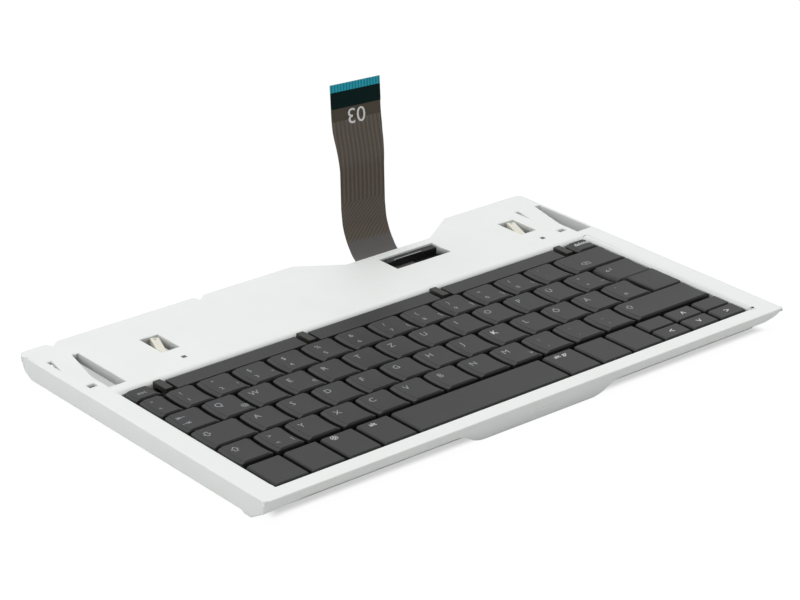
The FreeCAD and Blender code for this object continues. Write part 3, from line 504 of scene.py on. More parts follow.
def rubber_dome():
    """One dome that stands on the origin: a foot, a soft flank and a hollow crown."""
    dome = rod(DOME_FOOT, dome_height)
    bpy.ops.object.mode_set(mode="EDIT")
    choose(dome, "faces", facing((0, 0, 1)))
    crown = DOME_CROWN / DOME_FOOT
    bpy.ops.transform.resize(value=(crown, crown, 1), center_override=(0, 0, dome_height))
    bpy.ops.mesh.inset(thickness=CROWN_WALL)
    bpy.ops.mesh.extrude_region_move(TRANSFORM_OT_translate={"value": (0, 0, -CROWN_DEEP)})
    bpy.ops.object.mode_set(mode="OBJECT")
    soften(dome, DOME_EDGE, sharp=DOME_SHARP)
    dome.data.materials.append(black_rubber)
    return dome


def scissor(depth):
    """The crossed links of one key on the origin, as long as the cap's depth asks."""
    reach = LINK_REACH * depth
    bars = []
    for slope, offset in ((1, LINK_INNER), (-1, LINK_OUTER)):
        for side in (-1, 1):
            middle_x = side * (offset + LINK_BAR / 2)
            bar = cuboid((LINK_BAR, 2 * LINK_THICK, dome_height), (middle_x, 0, dome_height / 2))
            bpy.ops.object.mode_set(mode="EDIT")
            choose(bar, "faces", facing((0, 0, 1)))
            bpy.ops.transform.translate(value=(0, slope * reach, 0))
            choose(bar, "faces", facing((0, 0, -1)))
            bpy.ops.transform.translate(value=(0, -slope * reach, 0))
            bpy.ops.object.mode_set(mode="OBJECT")
            soften(bar, LINK_EDGE, segments=1)
            bars.append(bar)
    links = join(bars)
    links.data.materials.append(link_plastic)
    return links


def set_at(piece, place):
    """Moves a piece and applies its place."""
    piece.location = place
    activate(piece)
    bpy.ops.object.transform_apply(location=True, rotation=False, scale=False)
    return piece


def moved_copy(piece, name, place):
    """A copy of a piece with its own mesh, which holds its place."""
    twin = bpy.data.objects.new(name, piece.data.copy())
    bpy.context.scene.collection.objects.link(twin)
    return set_at(twin, place)


def discard(pieces):
    """Removes patterns that were only there to be copied."""
    for piece in pieces:
        bpy.data.objects.remove(piece)


def islands(node):
    """The box of each separate solid in a node, as its low and high corner."""
    whole = merged_copy(node, "islands")
    bpy.ops.object.mode_set(mode="EDIT")
    bpy.ops.mesh.select_all(action="SELECT")
    bpy.ops.mesh.separate(type="LOOSE")
    bpy.ops.object.mode_set(mode="OBJECT")
    parts = [piece for piece in bpy.context.scene.objects if piece.name.split(".")[0] == whole.name]
    boxes = []
    for part in parts:
        corners = [Vector(corner) for corner in part.bound_box]
        boxes.append((Vector(map(min, *corners)), Vector(map(max, *corners))))
    discard(parts)
    return boxes


FIXED_NAMES = ("blank_1 blank_2 globe alt alt_gr blank_3 blank_4 blank_5 blank_6 "
               "caret 1 2 3 4 5 6 7 8 9 0 sharp_s acute escape delete").split()
moving_keys = {node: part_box(node) for node in frame["nodes"] if node.startswith("key_")}
cap_bottom = moving_keys["key_a"][0].z
fixed_boxes = islands("fixed_key_units")
fixed_boxes.sort(key=lambda box: (round((box[0].y + box[1].y) / MM), box[0].x))
fixed_keys = {f"key_{name}": (Vector((low.x, low.y, cap_bottom)), high)
              for name, (low, high) in zip(FIXED_NAMES, fixed_boxes)}
dome_pattern = rubber_dome()
scissor_patterns = {}


def key_works(node, low, high):
    """The dome and the links under one key, joined, and where they stand."""
    depth = high.y - low.y
    if node == "key_enter":
        depth = moving_keys["key_a"][1].y - moving_keys["key_a"][0].y
    size = round(depth / MM, 1)
    if size not in scissor_patterns:
        scissor_patterns[size] = scissor(depth)
    middle = Vector(((low.x + high.x) / 2, high.y - depth / 2, sheet_top))
    dome = moved_copy(dome_pattern, f"works_{node[4:]}", middle)
    links = moved_copy(scissor_patterns[size], "links", middle)
    return join([dome, links]), middle


for node, (low, high) in moving_keys.items():
    works, foot = key_works(node, low, high)
    seat(works, "tray", "dome_rubber", "dome_sheet", "scissor_links")
    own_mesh(works)
fixed_works = [key_works(node, low, high)[0] for node, (low, high) in fixed_keys.items()]
sheet_size = domes_high - sheet_low
sheet_size.z = SHEET_THICK
rubber_sheet = cuboid(sheet_size, (*((sheet_low + domes_high) / 2).to_2d(), sheet_low.z + SHEET_THICK / 2))
rubber_sheet.name = "dome_carrier_sheet"
soften(rubber_sheet, SHEET_EDGE, segments=1)
rubber_sheet.data.materials.append(black_rubber)
join([rubber_sheet] + fixed_works)
seat(rubber_sheet, "tray", "dome_rubber", "dome_sheet", "scissor_links")
discard([dome_pattern, *scissor_patterns.values()])

# Key caps
# Thin hollow shells of charcoal plastic, clipped on the scissor links. All rows but the front one have a
# sloping margin, a small step and a top hollowed along X for the fingertip, deeper on the two home keys.
CAP_DRAFT = (0.2 * MM, 0.08 * MM)
MARGIN = ((1.6 * MM, 0.3 * MM, 0.7 * MM), (0.12 * MM, 0.1 * MM, 0.2 * MM))
FLAT_MARGIN = ((0.6 * MM, 0.3 * MM, 0.6 * MM),)
DISH_DROP = 0.5 * MM
HOME_DROP = 0.65 * MM
HOME_KEYS = ("key_f", "key_j")
DISH_STRIPS = 12
CAP_CORNER = 0.6 * MM
CAP_EDGE = 0.1 * MM
CAP_SHARP = math.radians(14)
CAP_WALL = 0.7 * MM
flat_top = moving_keys["key_space"][1].z
charcoal = moulded("charcoal_plastic", shade(47, 47, 49), shade(41, 41, 43), gloss=(0.42, 0.56), mottle=90,
                   grain=3200, relief=0.2)
grey_ink = moulded("grey_ink", shade(158, 160, 162), shade(136, 138, 140), gloss=(0.4, 0.5), mottle=900)
white_ink = moulded("white_ink", shade(232, 232, 230), shade(210, 210, 208), gloss=(0.4, 0.5), mottle=900)


def dish_at(y, depth, drop):
    """How far the hollow of a dished cap lies below its front and rear edges, y from its middle."""
    return drop * max(0, 1 - (2 * y / depth) ** 2)


def cap_block(width, depth, height, drop):
    """The closed outer form of a cap that stands on the origin, its top flat where drop is nought."""
    margin = MARGIN if drop else FLAT_MARGIN
    skirt = height - sum(rise for _, _, rise in margin)
    cap = cuboid((width, depth, skirt), (0, 0, skirt / 2))
    bpy.ops.object.mode_set(mode="EDIT")
    choose(cap, "faces", facing((0, 0, 1)))
    for side, front, rise in ((*CAP_DRAFT, 0),) + margin:
        if rise:
            bpy.ops.mesh.extrude_region_move(TRANSFORM_OT_translate={"value": (0, 0, rise)})
        bpy.ops.transform.resize(value=(1 - 2 * side / width, 1 - 2 * front / depth, 1),
                                 center_override=(0, 0, 0))
    choose(cap, "edges", lambda edge: abs(edge.verts[0].co.z - edge.verts[1].co.z) > TINY)
    bpy.ops.mesh.bevel(offset=CAP_CORNER, segments=3, affect="EDGES", clamp_overlap=False)
    for strip in range(1, DISH_STRIPS if drop else 1):
        bpy.ops.mesh.select_all(action="SELECT")
        bpy.ops.mesh.bisect(plane_co=(0, depth * (strip / DISH_STRIPS - 0.5), 0), plane_no=(0, 1, 0))
    bpy.ops.object.mode_set(mode="OBJECT")
    for vert in cap.data.vertices:
        if vert.co.z > skirt - TINY:
            vert.co.z -= dish_at(vert.co.y, depth, drop)
    return cap


def cap_shell(cap, sharp_edges=True):
    """Opens a closed cap below, rounds its edges where they are still sharp and gives it its wall."""
    activate(cap)
    bpy.ops.object.mode_set(mode="EDIT")
    choose(cap, "faces", facing((0, 0, -1)))
    bpy.ops.mesh.delete(type="FACE")
    bpy.ops.object.mode_set(mode="OBJECT")
    if sharp_edges:
        soften(cap, CAP_EDGE, sharp=CAP_SHARP)
    else:
        even_shading(cap, CAP_SHARP)
    wall = cap.modifiers.new("wall", "SOLIDIFY")
    wall.thickness = CAP_WALL
    wall.offset = -1
    apply_all(cap)
    cap.data.materials.append(charcoal)
    return cap


cap_patterns = {}


def plain_cap(width, depth, height, drop):
    """A finished cap of one size on the origin, modelled once for each size."""
    size = (round(width / MM, 2), round(depth / MM, 2), drop)
    if size not in cap_patterns:
        cap_patterns[size] = cap_shell(cap_block(width, depth, height, drop))
    return cap_patterns[size]


ENTER_LEG_WIDTH = 16.2 * MM
LEG_OVERLAP = 1.0 * MM
LEG_INSET = 0.04 * MM
LEG_BELOW = 0.35 * MM


def combine(piece, other, way):
    """Unites a piece with another or cuts it with that, and removes the other."""
    change = piece.modifiers.new("combined", "BOOLEAN")
    change.operation = way
    change.object = other
    apply_all(piece)
    discard([other])


def enter_cap(low, high):
    """The Enter cap: a dished cap of the upper row fused with a flat leg beside the home row."""
    height = high.z - low.z
    width = high.x - low.x
    depth = moving_keys["key_p"][1].y - moving_keys["key_p"][0].y
    leg_depth = high.y - low.y - depth + LEG_OVERLAP
    head = cap_block(width, depth, height, DISH_DROP)
    leg = cap_block(ENTER_LEG_WIDTH, leg_depth, height - LEG_BELOW, 0)
    set_at(leg, ((width - ENTER_LEG_WIDTH) / 2 - LEG_INSET, LEG_OVERLAP - (depth + leg_depth) / 2, 0))
    combine(head, leg, "UNION")
    cap_patterns["enter"] = cap_shell(head, sharp_edges=False)
    return head, depth


# Legends
# The pale signs on the caps, pad printed in ink that stands a hair above the plastic. Each lies on the
# hollow of its cap, the main sign at the rear left.
INK_PROUD = 0.03 * MM
CAPITAL = 0.685
LETTER_SIZE = 4.25 * MM
SIGN_SIZE = 3.4 * MM
WORD_SIZE = 3.3 * MM
CHEVRON_SIZE = 4.9 * MM
STROKE = 0.32 * MM
FULL_CAP = 16 * MM
LETTER_PLACE = (5.25 * MM, 4.9 * MM)
SHIFT_PLACE = (5.8 * MM, 4.4 * MM)
DIGIT_PLACE = (5.35 * MM, 10.7 * MM)
THIRD_PLACE = (2.85 * MM, 11.2 * MM)
TAB_PLACES = ((5.3 * MM, 4.6 * MM), (3.6 * MM, 10.0 * MM))
WORD_PLACES = {"key_alt": (6.2 * MM, 3.0 * MM), "key_alt_gr": (7.6 * MM, 3.0 * MM),
               "key_escape": (6.0 * MM, 4.2 * MM), "key_delete": (7.0 * MM, 3.0 * MM)}
DRAWING_PLACES = {"key_left_shift": LETTER_PLACE, "key_right_shift": LETTER_PLACE,
                  "key_caps_lock": (4.6 * MM, 5.2 * MM), "key_enter": (5.2 * MM, 5.0 * MM),
                  "key_backspace": (10.2 * MM, 10.6 * MM), "key_globe": (5.3 * MM, 2.7 * MM)}
LETTERS = {f"key_{letter}": letter.upper() for letter in "qwertzuiopasdfghjklyxcvbnm"}
LETTERS.update({"key_ue": "Ü", "key_oe": "Ö", "key_ae": "Ä"})
PAIRS = {
    "key_caret": ("°", "^"), "key_1": ("!", "1"), "key_2": ('"', "2"), "key_3": ("§", "3"),
    "key_4": ("$", "4"), "key_5": ("%", "5"), "key_6": ("&", "6"), "key_7": ("/", "7"), "key_8": ("(", "8"),
    "key_9": (")", "9"), "key_0": ("=", "0"), "key_sharp_s": ("?", "ß"), "key_acute": ("`", "´"),
    "key_plus": ("*", "+"), "key_hash": ("'", "#"), "key_less": (">", "<"), "key_comma": (";", ","),
    "key_dot": (":", "."), "key_dash": ("_", "-"),
}
THIRDS = {"key_2": "²", "key_3": "³", "key_7": "{", "key_8": "[", "key_9": "]", "key_0": "}",
          "key_sharp_s": "\\", "key_q": "@", "key_e": "€", "key_plus": "~", "key_less": "|", "key_m": "µ"}
WORDS = {"key_alt": "alt", "key_alt_gr": "alt gr", "key_escape": "esc", "key_delete": "delete"}
CHEVRON_TURNS = {"key_left": 0, "key_down": 90, "key_right": 180, "key_up": 270}


def sign(text, x, y, size, ink, turn=0):
    """A printed sign as a thin solid, centred on a place of the cap's own plan."""
    bpy.ops.object.select_all(action="DESELECT")
    bpy.ops.object.text_add()
    piece = bpy.context.object
    piece.data.body = text
    piece.data.size = size
    piece.data.align_x = "CENTER"
    piece.data.align_y = "TOP_BASELINE"
    piece.data.resolution_u = 3
    piece.data.extrude = INK_PROUD
    bpy.ops.object.convert(target="MESH")
    piece.location.y = -CAPITAL * size / 2
    bpy.ops.object.transform_apply(location=True, rotation=True, scale=True)
    piece.rotation_euler.z = math.radians(turn)
    piece.location = (x, y, 0)
    bpy.ops.object.transform_apply(location=True, rotation=True, scale=True)
    piece.data.materials.append(ink)
    return piece


def drawing(lines, ink):
    """Printed lines through places in millimetres, about the middle of a sign, as one piece."""
    strokes = []
    for start, end in [ends for line in lines for ends in zip(line, line[1:])]:
        run = (Vector(end) - Vector(start)) * MM
        middle = (Vector(end) + Vector(start)) / 2 * MM
        stroke = cuboid((run.length + STROKE, STROKE, 2 * INK_PROUD), (*middle, 0),
                        (0, 0, math.atan2(run.y, run.x)))
        stroke.data.materials.append(ink)
        strokes.append(stroke)
    return join(strokes)


UP_ARROW = [(-1.5, 0), (0, 1.6), (1.5, 0), (0.7, 0), (0.7, -1.5), (-0.7, -1.5), (-0.7, 0), (-1.5, 0)]
DOWN_ARROW = [(x, -y) for x, y in UP_ARROW]
HOOK_ARROW = [[(1.6, 1.3), (1.6, -0.4), (-1.6, -0.4)], [(-0.6, 0.6), (-1.6, -0.4), (-0.6, -1.4)]]
ERASE_SIGN = [[(-2.2, 0), (-1.0, 1.3), (2.2, 1.3), (2.2, -1.3), (-1.0, -1.3), (-2.2, 0)],
              [(-0.2, 0.6), (1.0, -0.6)], [(-0.2, -0.6), (1.0, 0.6)]]
TAB_LEFT = [[(-1.8, 0), (1.4, 0)], [(-0.8, 0.7), (-1.8, 0), (-0.8, -0.7)], [(-2.1, 0.8), (-2.1, -0.8)]]
TAB_RIGHT = [[(-x, y) for x, y in line] for line in TAB_LEFT]
GLOBE_RING = [(1.5 * math.cos(math.radians(turn)), 1.5 * math.sin(math.radians(turn)))
              for turn in range(0, 361, 30)]
DRAWINGS = {"key_left_shift": [UP_ARROW], "key_right_shift": [UP_ARROW], "key_caps_lock": [DOWN_ARROW],
            "key_enter": HOOK_ARROW, "key_backspace": ERASE_SIGN,
            "key_globe": [GLOBE_RING, [(-1.5, 0), (1.5, 0)], [(0, -1.5), (0, 1.5)]]}


def legends(node, width, depth):
    """Every printed sign of one key, in the plan of its cap."""
    left = -width / 2
    rear = depth / 2
    squeeze = min(1, width / FULL_CAP)
    signs = []
    if node in LETTERS:
        x, y = LETTER_PLACE
        ink = white_ink if node == "key_k" else grey_ink
        signs.append(sign(LETTERS[node], left + x, rear - y, LETTER_SIZE, ink))
    if node in PAIRS:
        for glyph, (x, y) in zip(PAIRS[node], (SHIFT_PLACE, DIGIT_PLACE)):
            signs.append(sign(glyph, left + x * squeeze, rear - y, SIGN_SIZE, grey_ink))
    if node in THIRDS:
        x, y = THIRD_PLACE
        signs.append(sign(THIRDS[node], -left - x, rear - y, SIGN_SIZE, grey_ink))
    if node in WORD_PLACES:
        x, y = WORD_PLACES[node]
        ink = grey_ink if node == "key_escape" else white_ink
        signs.append(sign(WORDS[node], left + x, rear - y, WORD_SIZE, ink))
    if node in CHEVRON_TURNS:
        signs.append(sign("<", 0, 0, CHEVRON_SIZE, white_ink, CHEVRON_TURNS[node]))
    if node in DRAWING_PLACES:
        x, y = DRAWING_PLACES[node]
        ink = white_ink if node == "key_globe" else grey_ink
        signs.append(set_at(drawing(DRAWINGS[node], ink), (left + x, rear - y, 0)))
    if node == "key_tab":
        for lines, (x, y) in zip((TAB_LEFT, TAB_RIGHT), TAB_PLACES):
            signs.append(set_at(drawing(lines, grey_ink), (left + x, rear - y, 0)))
    return signs


def printed_cap(node, low, high):
    """One key's cap with its legends, in place."""
    width = high.x - low.x
    depth = high.y - low.y
    height = high.z - low.z
    drop = 0
    if high.z > flat_top + TINY:
        drop = HOME_DROP if node in HOME_KEYS else DISH_DROP
    if node == "key_enter":
        pattern, depth = enter_cap(low, high)
    else:
        pattern = plain_cap(width, depth, height, drop)
    middle = Vector(((low.x + high.x) / 2, high.y - depth / 2, low.z))
    cap = moved_copy(pattern, f"cap_{node[4:]}", middle)
    signs = legends(node, width, depth)
    for piece in signs:
        for vert in piece.data.vertices:
            vert.co.z += height - dish_at(vert.co.y, depth, drop)
        piece.data.transform(Matrix.Translation(middle))
    return join([cap] + signs)


for node, (low, high) in moving_keys.items():
    cap = printed_cap(node, low, high)
    seat(cap, node, "key_charcoal", node)
fixed_caps = join([printed_cap(node, low, high) for node, (low, high) in fixed_keys.items()])
fixed_caps.name = "fixed_caps"
seat(fixed_caps, "tray", "key_charcoal", "fixed_key_units")
discard(cap_patterns.values())

# Filler bars
# Three long blank covers behind the number row, moulded in the same charcoal plastic as the caps.
BAR_EDGE = 0.3 * MM
bars = merged_copy("filler_bars", "filler_covers")
soften(bars, BAR_EDGE)
dress(bars, charcoal, "tray", "key_charcoal", "filler_bars")

# Latch tabs
# Four small hooks that hold down the rear edge of the keyboard, a shade lighter than the caps.
LATCH_EDGE = 0.25 * MM
LATCH_SHARE = 0.78
LATCH_REACH = 10 * MM
LATCH_MIDDLES = (-108.08 * MM, -36.03 * MM, 36.03 * MM, 108.08 * MM)
latch_plastic = moulded("latch_plastic", shade(50, 49, 46), shade(42, 41, 39), gloss=(0.4, 0.55))
latches = merged_copy("latch_tabs", "latches")
bpy.ops.object.mode_set(mode="EDIT")
for middle in LATCH_MIDDLES:
    choose(latches, "verts", lambda vert: abs(vert.co.x - middle) < LATCH_REACH)
    bpy.ops.transform.resize(value=(LATCH_SHARE, 1, 1), center_override=(middle, 0, 0))
bpy.ops.object.mode_set(mode="OBJECT")
soften(latches, LATCH_EDGE)
dress(latches, latch_plastic, "tray", "latch_grey", "latch_tabs")

# Flex tail
# A flat printed-circuit film that joins the keyboard to the printer: brown coverlay over copper traces.
# It comes out under the shelf, bends up behind it and stands free with its contact end on top.
TAIL_THICK = 0.3 * MM
TAIL_SKEW = 1.4 * MM
TAIL_ROUTE = [(24.5, 4.0), (32.7, 4.0), (36.3, 5.55), (71.35, 5.55), (79.55, 17.5), (80.35, 53.8),
              (83.85, 66.8), (84.95, 86.8)]
TAIL_INSETS = [(12.0, 2.7, 0.0), (30.0, 1.4, 1.4), (47.8, 1.4, 1.4), (65.8, 0.0, 0.0)]
TAIL_STANDS_FROM = 3
BEND_SHARE = 0.45
BEND_STEPS = 10
TRACE_PITCH = 2.1 * MM
TRACE_TURN = 33 * MM
FOOT_TOP = 15 * MM
TAN_FROM = 70 * MM
TAIL_SHARP = math.radians(30)
tail_low, tail_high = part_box("flex_tail")
route = [Vector((0, y * MM, z * MM)) for y, z in TAIL_ROUTE]
tail_middle = (tail_low.x + tail_high.x) / 2
tail_width = tail_high.x - tail_low.x
first_run = route[1].y - route[0].y
bpy.ops.object.select_all(action="DESELECT")
bpy.ops.mesh.primitive_plane_add(size=1, location=(tail_middle, (route[0].y + route[1].y) / 2, route[0].z))
tail = bpy.context.object
tail.name = "film_tail"
tail.scale = (tail_width, first_run, 1)
bpy.ops.object.transform_apply(location=True, rotation=True, scale=True)
bpy.ops.object.mode_set(mode="EDIT")
choose(tail, "edges", lambda edge: min(vert.co.y for vert in edge.verts) > route[1].y - TINY)
for before, after in zip(route[1:], route[2:]):
    bpy.ops.mesh.extrude_region_move(TRANSFORM_OT_translate={"value": after - before})
for side, shift in ((-1, TAIL_SKEW), (1, -TAIL_SKEW)):
    choose(tail, "verts", lambda vert: (vert.co.x - tail_middle) * side > 0
           and vert.co.y > route[TAIL_STANDS_FROM].y - TINY)
    bpy.ops.transform.translate(value=(0, shift, 0))
for before, corner, after in zip(route, route[1:], route[2:]):
    reach = BEND_SHARE * min((corner - before).length, (after - corner).length)
    choose(tail, "edges", lambda edge: abs(edge.verts[0].co.x - edge.verts[1].co.x) > tail_width / 2
           and all(abs(vert.co.z - corner.z) < TINY and abs(vert.co.y - corner.y) < TAIL_SKEW + TINY
                   for vert in edge.verts))
    bpy.ops.mesh.bevel(offset=reach, segments=BEND_STEPS, affect="EDGES", clamp_overlap=False)
for height, _, _ in TAIL_INSETS:
    bpy.ops.mesh.select_all(action="SELECT")
    bpy.ops.mesh.bisect(plane_co=(0, 0, height * MM), plane_no=(0, 0, 1))
bpy.ops.object.mode_set(mode="OBJECT")


def tail_inset(height, side):
    """How far one edge of the tail is drawn in at a height: the foot, the waist and the wide contact end."""
    stations = [(z * MM, (left if side < 0 else right) * MM) for z, left, right in TAIL_INSETS]
    if height <= stations[0][0]:
        return stations[0][1]
    for (low, start), (high, end) in zip(stations, stations[1:]):
        if height <= high:
            return start + (end - start) * (height - low) / (high - low)
    return stations[-1][1]


for vert in tail.data.vertices:
    side = 1 if vert.co.x > tail_middle else -1
    vert.co.x -= side * tail_inset(vert.co.z, side)
film = tail.modifiers.new("film", "SOLIDIFY")
film.thickness = TAIL_THICK
film.offset = 1
apply_all(tail)
bpy.ops.object.shade_smooth_by_angle(angle=TAIL_SHARP)


def computed(tree, kind, *values):
    """The outcome of one sum on fixed values or on what other nodes put out."""
    return add_node(tree, "ShaderNodeMath", enumerate(values), operation=kind)["Value"]


def place_parts(tree, kind):
    """The X, Y and Z of a place on a surface or of a direction in the sky."""
    place = add_node(tree, "ShaderNodeTexCoord")[kind]
    return add_node(tree, "ShaderNodeSeparateXYZ", {"Vector": place})


def film_material(name):
    """Brown film with pale traces along it, slanting near the foot, and a tan band by the contact end."""
    material, tree, shader = new_material(name)
    spot = place_parts(tree, "Object")
    slant = computed(tree, "MAXIMUM", computed(tree, "SUBTRACT", TRACE_TURN, spot["Z"]), 0)
    across = computed(tree, "ADD", spot["X"], slant)
    wave = computed(tree, "SINE", computed(tree, "MULTIPLY", across, 2 * math.pi / TRACE_PITCH))
    lines, foot = [add_node(tree, "ShaderNodeMapRange", {"Value": value, "From Min": low, "From Max": high},
                            interpolation_type="SMOOTHSTEP")["Result"]
                   for value, low, high in ((wave, -0.3, 0.6), (spot["Z"], FOOT_TOP + MM, FOOT_TOP - MM))]
    film_colour = mixed_colour(tree, lines, shade(80, 70, 58), shade(96, 87, 78))
    plain = mixed_colour(tree, foot, film_colour, shade(90, 88, 86))
    tan = computed(tree, "GREATER_THAN", spot["Z"], TAN_FROM)
    gloss = add_node(tree, "ShaderNodeMapRange", {"Value": lines, "To Min": 0.34, "To Max": 0.46})["Result"]
    relief = {"Strength": 0.3, "Distance": 0.03 * MM, "Height": lines}
    feed(tree, shader, {"Base Color": mixed_colour(tree, tan, plain, shade(64, 54, 36)), "Roughness": gloss,
                        "Normal": add_node(tree, "ShaderNodeBump", relief)["Normal"],
                        "Coat Weight": 0.12, "Coat Roughness": 0.15})
    return material


tail.data.materials.append(film_material("tail_film"))

MARK_SIZE = 9.8 * MM
MARK_PLACE = (41.5, 71.4)
MARK_AHEAD = 20 * MM
mark = sign("03", 0, 0, MARK_SIZE, white_ink, 180)
bpy.context.view_layer.update()
for vert in mark.data.vertices:
    across = MARK_PLACE[0] * MM + vert.co.x
    height = MARK_PLACE[1] * MM + vert.co.y
    ahead = Vector((across, tail_low.y - MARK_AHEAD, height))
    on_film = tail.ray_cast(ahead, (0, 1, 0))[1]
    vert.co = (across, on_film.y - vert.co.z - INK_PROUD, height)
tail = join([tail, mark])
seat(tail, "tray", "tail_film", "flex_tail")

# Stiffener
# The stiff strip glued to the front of the tail's contact end: dark green below, the bright teal contact
# edge with its fine fingers on top.
CONTACT_DEEP = 3.4 * MM
FINGER_PITCH = 1.5 * MM
STIFFENER_EDGE = 0.05 * MM


def stiffener_material(name, top):
    """Dark green strip with a teal contact edge, fingers ruled across it."""
    material, tree, shader = new_material(name)
    spot = place_parts(tree, "Object")
    wave = computed(tree, "SINE", computed(tree, "MULTIPLY", spot["X"], 2 * math.pi / FINGER_PITCH))
    fingers = add_node(tree, "ShaderNodeMapRange", {"Value": wave, "From Min": -1})["Result"]
    teal = mixed_colour(tree, fingers, shade(18, 132, 150), shade(58, 178, 198))
    high = computed(tree, "GREATER_THAN", spot["Z"], top - CONTACT_DEEP)
    gloss = add_node(tree, "ShaderNodeMapRange", {"Value": fingers, "To Min": 0.45, "To Max": 0.6})["Result"]
    feed(tree, shader, {"Base Color": mixed_colour(tree, high, shade(4, 31, 30), teal), "Roughness": gloss,
                        "Specular IOR Level": 0.08})
    return material


stiffener = merged_copy("tail_stiffener", "contact_stiffener")
soften(stiffener, STIFFENER_EDGE, segments=1)
green_strip = stiffener_material("stiffener_green", tail_high.z)
dress(stiffener, green_strip, "tray", "stiffener_green", "tail_stiffener")

# Tail clamp
# The black block screwed up under the slot, which reaches over the tail and grips it where it comes out.
# Its top faces are painted pale: a painted highlight along its upper front edge.
CLAMP_EDGE = 0.12 * MM
# Depth of the band at the top of the clamp that carries the painted highlight.
TOP_HIGHLIGHT_BAND = 0.5 * MM
# Black finish of the clamp: partly the clamp's own dark plastic, partly painted shade that fills the deep
# slot.
clamp_black_and_painted_shade = moulded("clamp_black_and_painted_shade", shade(24, 24, 26), shade(16, 16, 18), gloss=(0.35, 0.5))
# Pale finish for the clamp's top faces: a painted highlight.
clamp_top_painted_highlight = moulded("clamp_top_painted_highlight", shade(176, 178, 182), shade(160, 162, 166), gloss=(0.35, 0.5))
clamp_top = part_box("tail_clamp")[1].z
clamp = merged_copy("tail_clamp", "clamp_bar")
soften(clamp, CLAMP_EDGE)
# The clamp takes the black finish that is partly painted shade in the slot.
dress(clamp, clamp_black_and_painted_shade, "tray", "clamp_black", "tail_clamp")
# The top faces of the clamp are painted pale: a painted highlight along its upper front edge.
paint(clamp, clamp_top_painted_highlight, lambda face: face.calc_center_median().z > clamp_top - TOP_HIGHLIGHT_BAND + 2 * TINY)

# Screws
# Six small pan-headed screws with a cross recess, four up through the floor of the well into the plate and
# two through the clamp. Turned steel, zinc plated, driven from below.
HEAD_RADIUS = 1.78 * MM
HEAD_HIGH = 0.8 * MM
HEAD_EDGE = 0.3 * MM
SHANK_RADIUS = 0.98 * MM
RECESS_LONG = 1.9 * MM
RECESS_WIDE = 0.42 * MM
RECESS_DEEP = 0.45 * MM
THREAD_PITCH = 0.4 * MM
THREAD_DEEP = 0.12 * MM
screw_boxes = islands("screws")
screw_length = screw_boxes[0][1].z - screw_boxes[0][0].z
screw_pattern = rod(HEAD_RADIUS, HEAD_HIGH, sides=32)
bpy.ops.object.mode_set(mode="EDIT")
choose(screw_pattern, "edges", lambda edge: max(vert.co.z for vert in edge.verts) < TINY)
bpy.ops.mesh.bevel(offset=HEAD_EDGE, segments=3, affect="EDGES")
choose(screw_pattern, "faces", facing((0, 0, 1)))
bpy.ops.mesh.inset(thickness=HEAD_RADIUS - SHANK_RADIUS)
turns = int((screw_length - HEAD_HIGH) / THREAD_PITCH)
for turn in range(turns):
    for share in (1 - THREAD_DEEP / SHANK_RADIUS, 1 / (1 - THREAD_DEEP / SHANK_RADIUS)):
        bpy.ops.mesh.extrude_region_move(TRANSFORM_OT_translate={"value": (0, 0, THREAD_PITCH / 2)})
        bpy.ops.transform.resize(value=(share, share, 1), center_override=(0, 0, 0))
bpy.ops.object.mode_set(mode="OBJECT")
for turn in (0, 90):
    cutter = cuboid((RECESS_LONG, RECESS_WIDE, 2 * RECESS_DEEP), turn=(0, 0, math.radians(turn)))
    combine(screw_pattern, cutter, "DIFFERENCE")
bpy.ops.object.shade_smooth_by_angle(angle=SHARP)
screw_pattern.data.materials.append(rolled_steel("screw_steel"))
screw_places = [((low.x + high.x) / 2, (low.y + high.y) / 2, low.z) for low, high in screw_boxes]
screws = join([moved_copy(screw_pattern, f"screw_{index}", place)
               for index, place in enumerate(screw_places)])
screws.name = "screw_set"
seat(screws, "tray", "screw_steel", "screws")
discard([screw_pattern])

# Floor, light and camera
# A white sweep under soft studio light from above and both sides, its glow turned down under the tray as
# painted shade, seen from the front left corner and from a little above, with the long lens of a catalogue
# picture.
FLOOR_SIZE = 12
FLOOR_WHITE = shade(218, 218, 218)
FLOOR_GLOW = 0.93
# Glow of the floor under the tray: painted shade under the object, the half glow standing for light seen
# through its slots.
FLOOR_GLOW_BELOW = 0.5
GLOW_LEVEL = 1.04
SHADE_FROM = 0.92
SHADE_TO = 0.96
CAMERA_PLACE = Vector((-647.5, -790.5, 475.0)) * MM
CAMERA_AIM = Vector((-16.0, -32.5, 9.5)) * MM
CAMERA_LENS = 121.2
CAMERA_SHIFT = (-0.0317, 0.0819)
bpy.ops.object.select_all(action="DESELECT")
bpy.ops.mesh.primitive_plane_add(size=FLOOR_SIZE)
floor = bpy.context.object
floor.name = "floor"
paper, tree, paper_shader = new_material("floor_white")
feed(tree, paper_shader, {"Base Color": FLOOR_WHITE, "Roughness": 0.9, "Specular IOR Level": 0})
glow = add_node(tree, "ShaderNodeEmission", {"Strength": GLOW_LEVEL})["Emission"]
spot = place_parts(tree, "Object")
middle_y = (tray_low.y + tray_high.y) / 2
aside = computed(tree, "DIVIDE", computed(tree, "ABSOLUTE", spot["X"]), tray_high.x)
ahead = computed(tree, "ABSOLUTE", computed(tree, "SUBTRACT", spot["Y"], middle_y))
ahead = computed(tree, "DIVIDE", ahead, tray_high.y - middle_y)
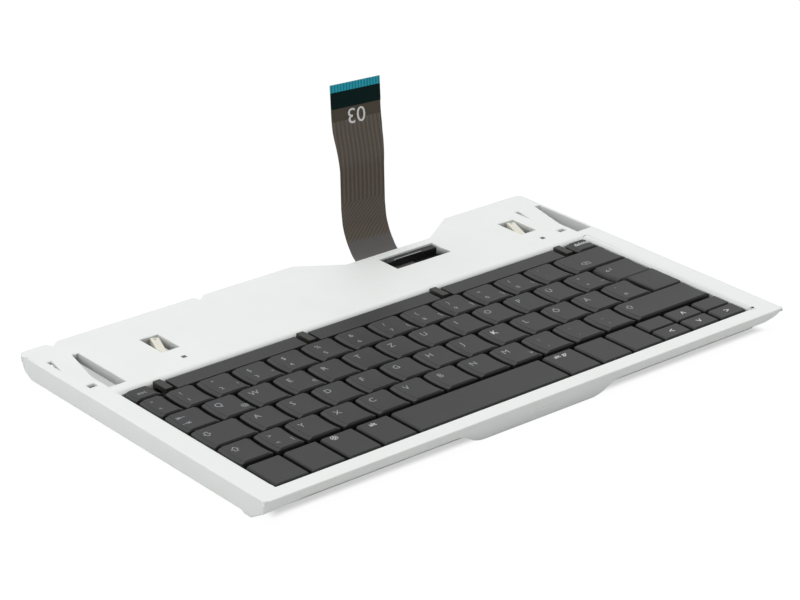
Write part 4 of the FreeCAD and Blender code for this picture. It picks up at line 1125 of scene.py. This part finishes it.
# The floor's glow falls from FLOOR_GLOW to FLOOR_GLOW_BELOW over the tray's footprint: painted shade under
# the object.
clear = add_node(tree, "ShaderNodeMapRange", {
    "Value": computed(tree, "MAXIMUM", aside, ahead), "From Min": SHADE_FROM, "From Max": SHADE_TO,
    "To Min": FLOOR_GLOW_BELOW, "To Max": FLOOR_GLOW})["Result"]
seen = add_node(tree, "ShaderNodeLightPath")["Is Camera Ray"]
mixed = add_node(tree, "ShaderNodeMixShader", {
    "Fac": computed(tree, "MULTIPLY", clear, seen), 1: paper_shader.outputs["BSDF"], 2: glow})["Shader"]
feed(tree, tree.nodes["Material Output"], {"Surface": mixed})
floor.data.materials.append(paper)

SKY_LOW = 0.44
SKY_HIGH = 0.78
world = bpy.data.worlds.new("studio")
bpy.context.scene.world = world
world.use_nodes = True
tree = world.node_tree
up = place_parts(tree, "Generated")["Z"]
rise = add_node(tree, "ShaderNodeMapRange", {"Value": up, "To Min": SKY_LOW, "To Max": SKY_HIGH})["Result"]
seen = add_node(tree, "ShaderNodeLightPath")["Is Camera Ray"]
feed(tree, tree.nodes["Background"], {
    "Color": (1, 1, 1, 1), "Strength": computed(tree, "MAXIMUM", rise, seen)})


def softbox(name, place, aim, size, power):
    """A large square lamp that looks at a point."""
    lamp = bpy.data.lights.new(name, "AREA")
    lamp.energy = power
    lamp.size = size
    holder = bpy.data.objects.new(name, lamp)
    holder.location = place
    holder.rotation_euler = (Vector(aim) - Vector(place)).to_track_quat("-Z", "Y").to_euler()
    bpy.context.scene.collection.objects.link(holder)


softbox("top_light", (-0.1, 0.35, 1.5), (0, 0, 0), 1.6, 10.4)
softbox("left_light", (-1.6, 0.2, 0.8), (0, 0, 0), 1.2, 4.5)
softbox("right_light", (1.6, 0.7, 0.7), (0, 0, 0), 1.2, 2)
camera = bpy.data.objects.new("camera", bpy.data.cameras.new("camera"))
bpy.context.scene.collection.objects.link(camera)
camera.location = CAMERA_PLACE
camera.rotation_euler = (CAMERA_AIM - CAMERA_PLACE).to_track_quat("-Z", "Y").to_euler()
camera.data.lens = CAMERA_LENS
camera.data.shift_x, camera.data.shift_y = CAMERA_SHIFT
camera.data.clip_start = 0.05
camera.data.clip_end = 50
bpy.context.scene.camera = camera
bpy.context.scene.view_settings.view_transform = "Standard"
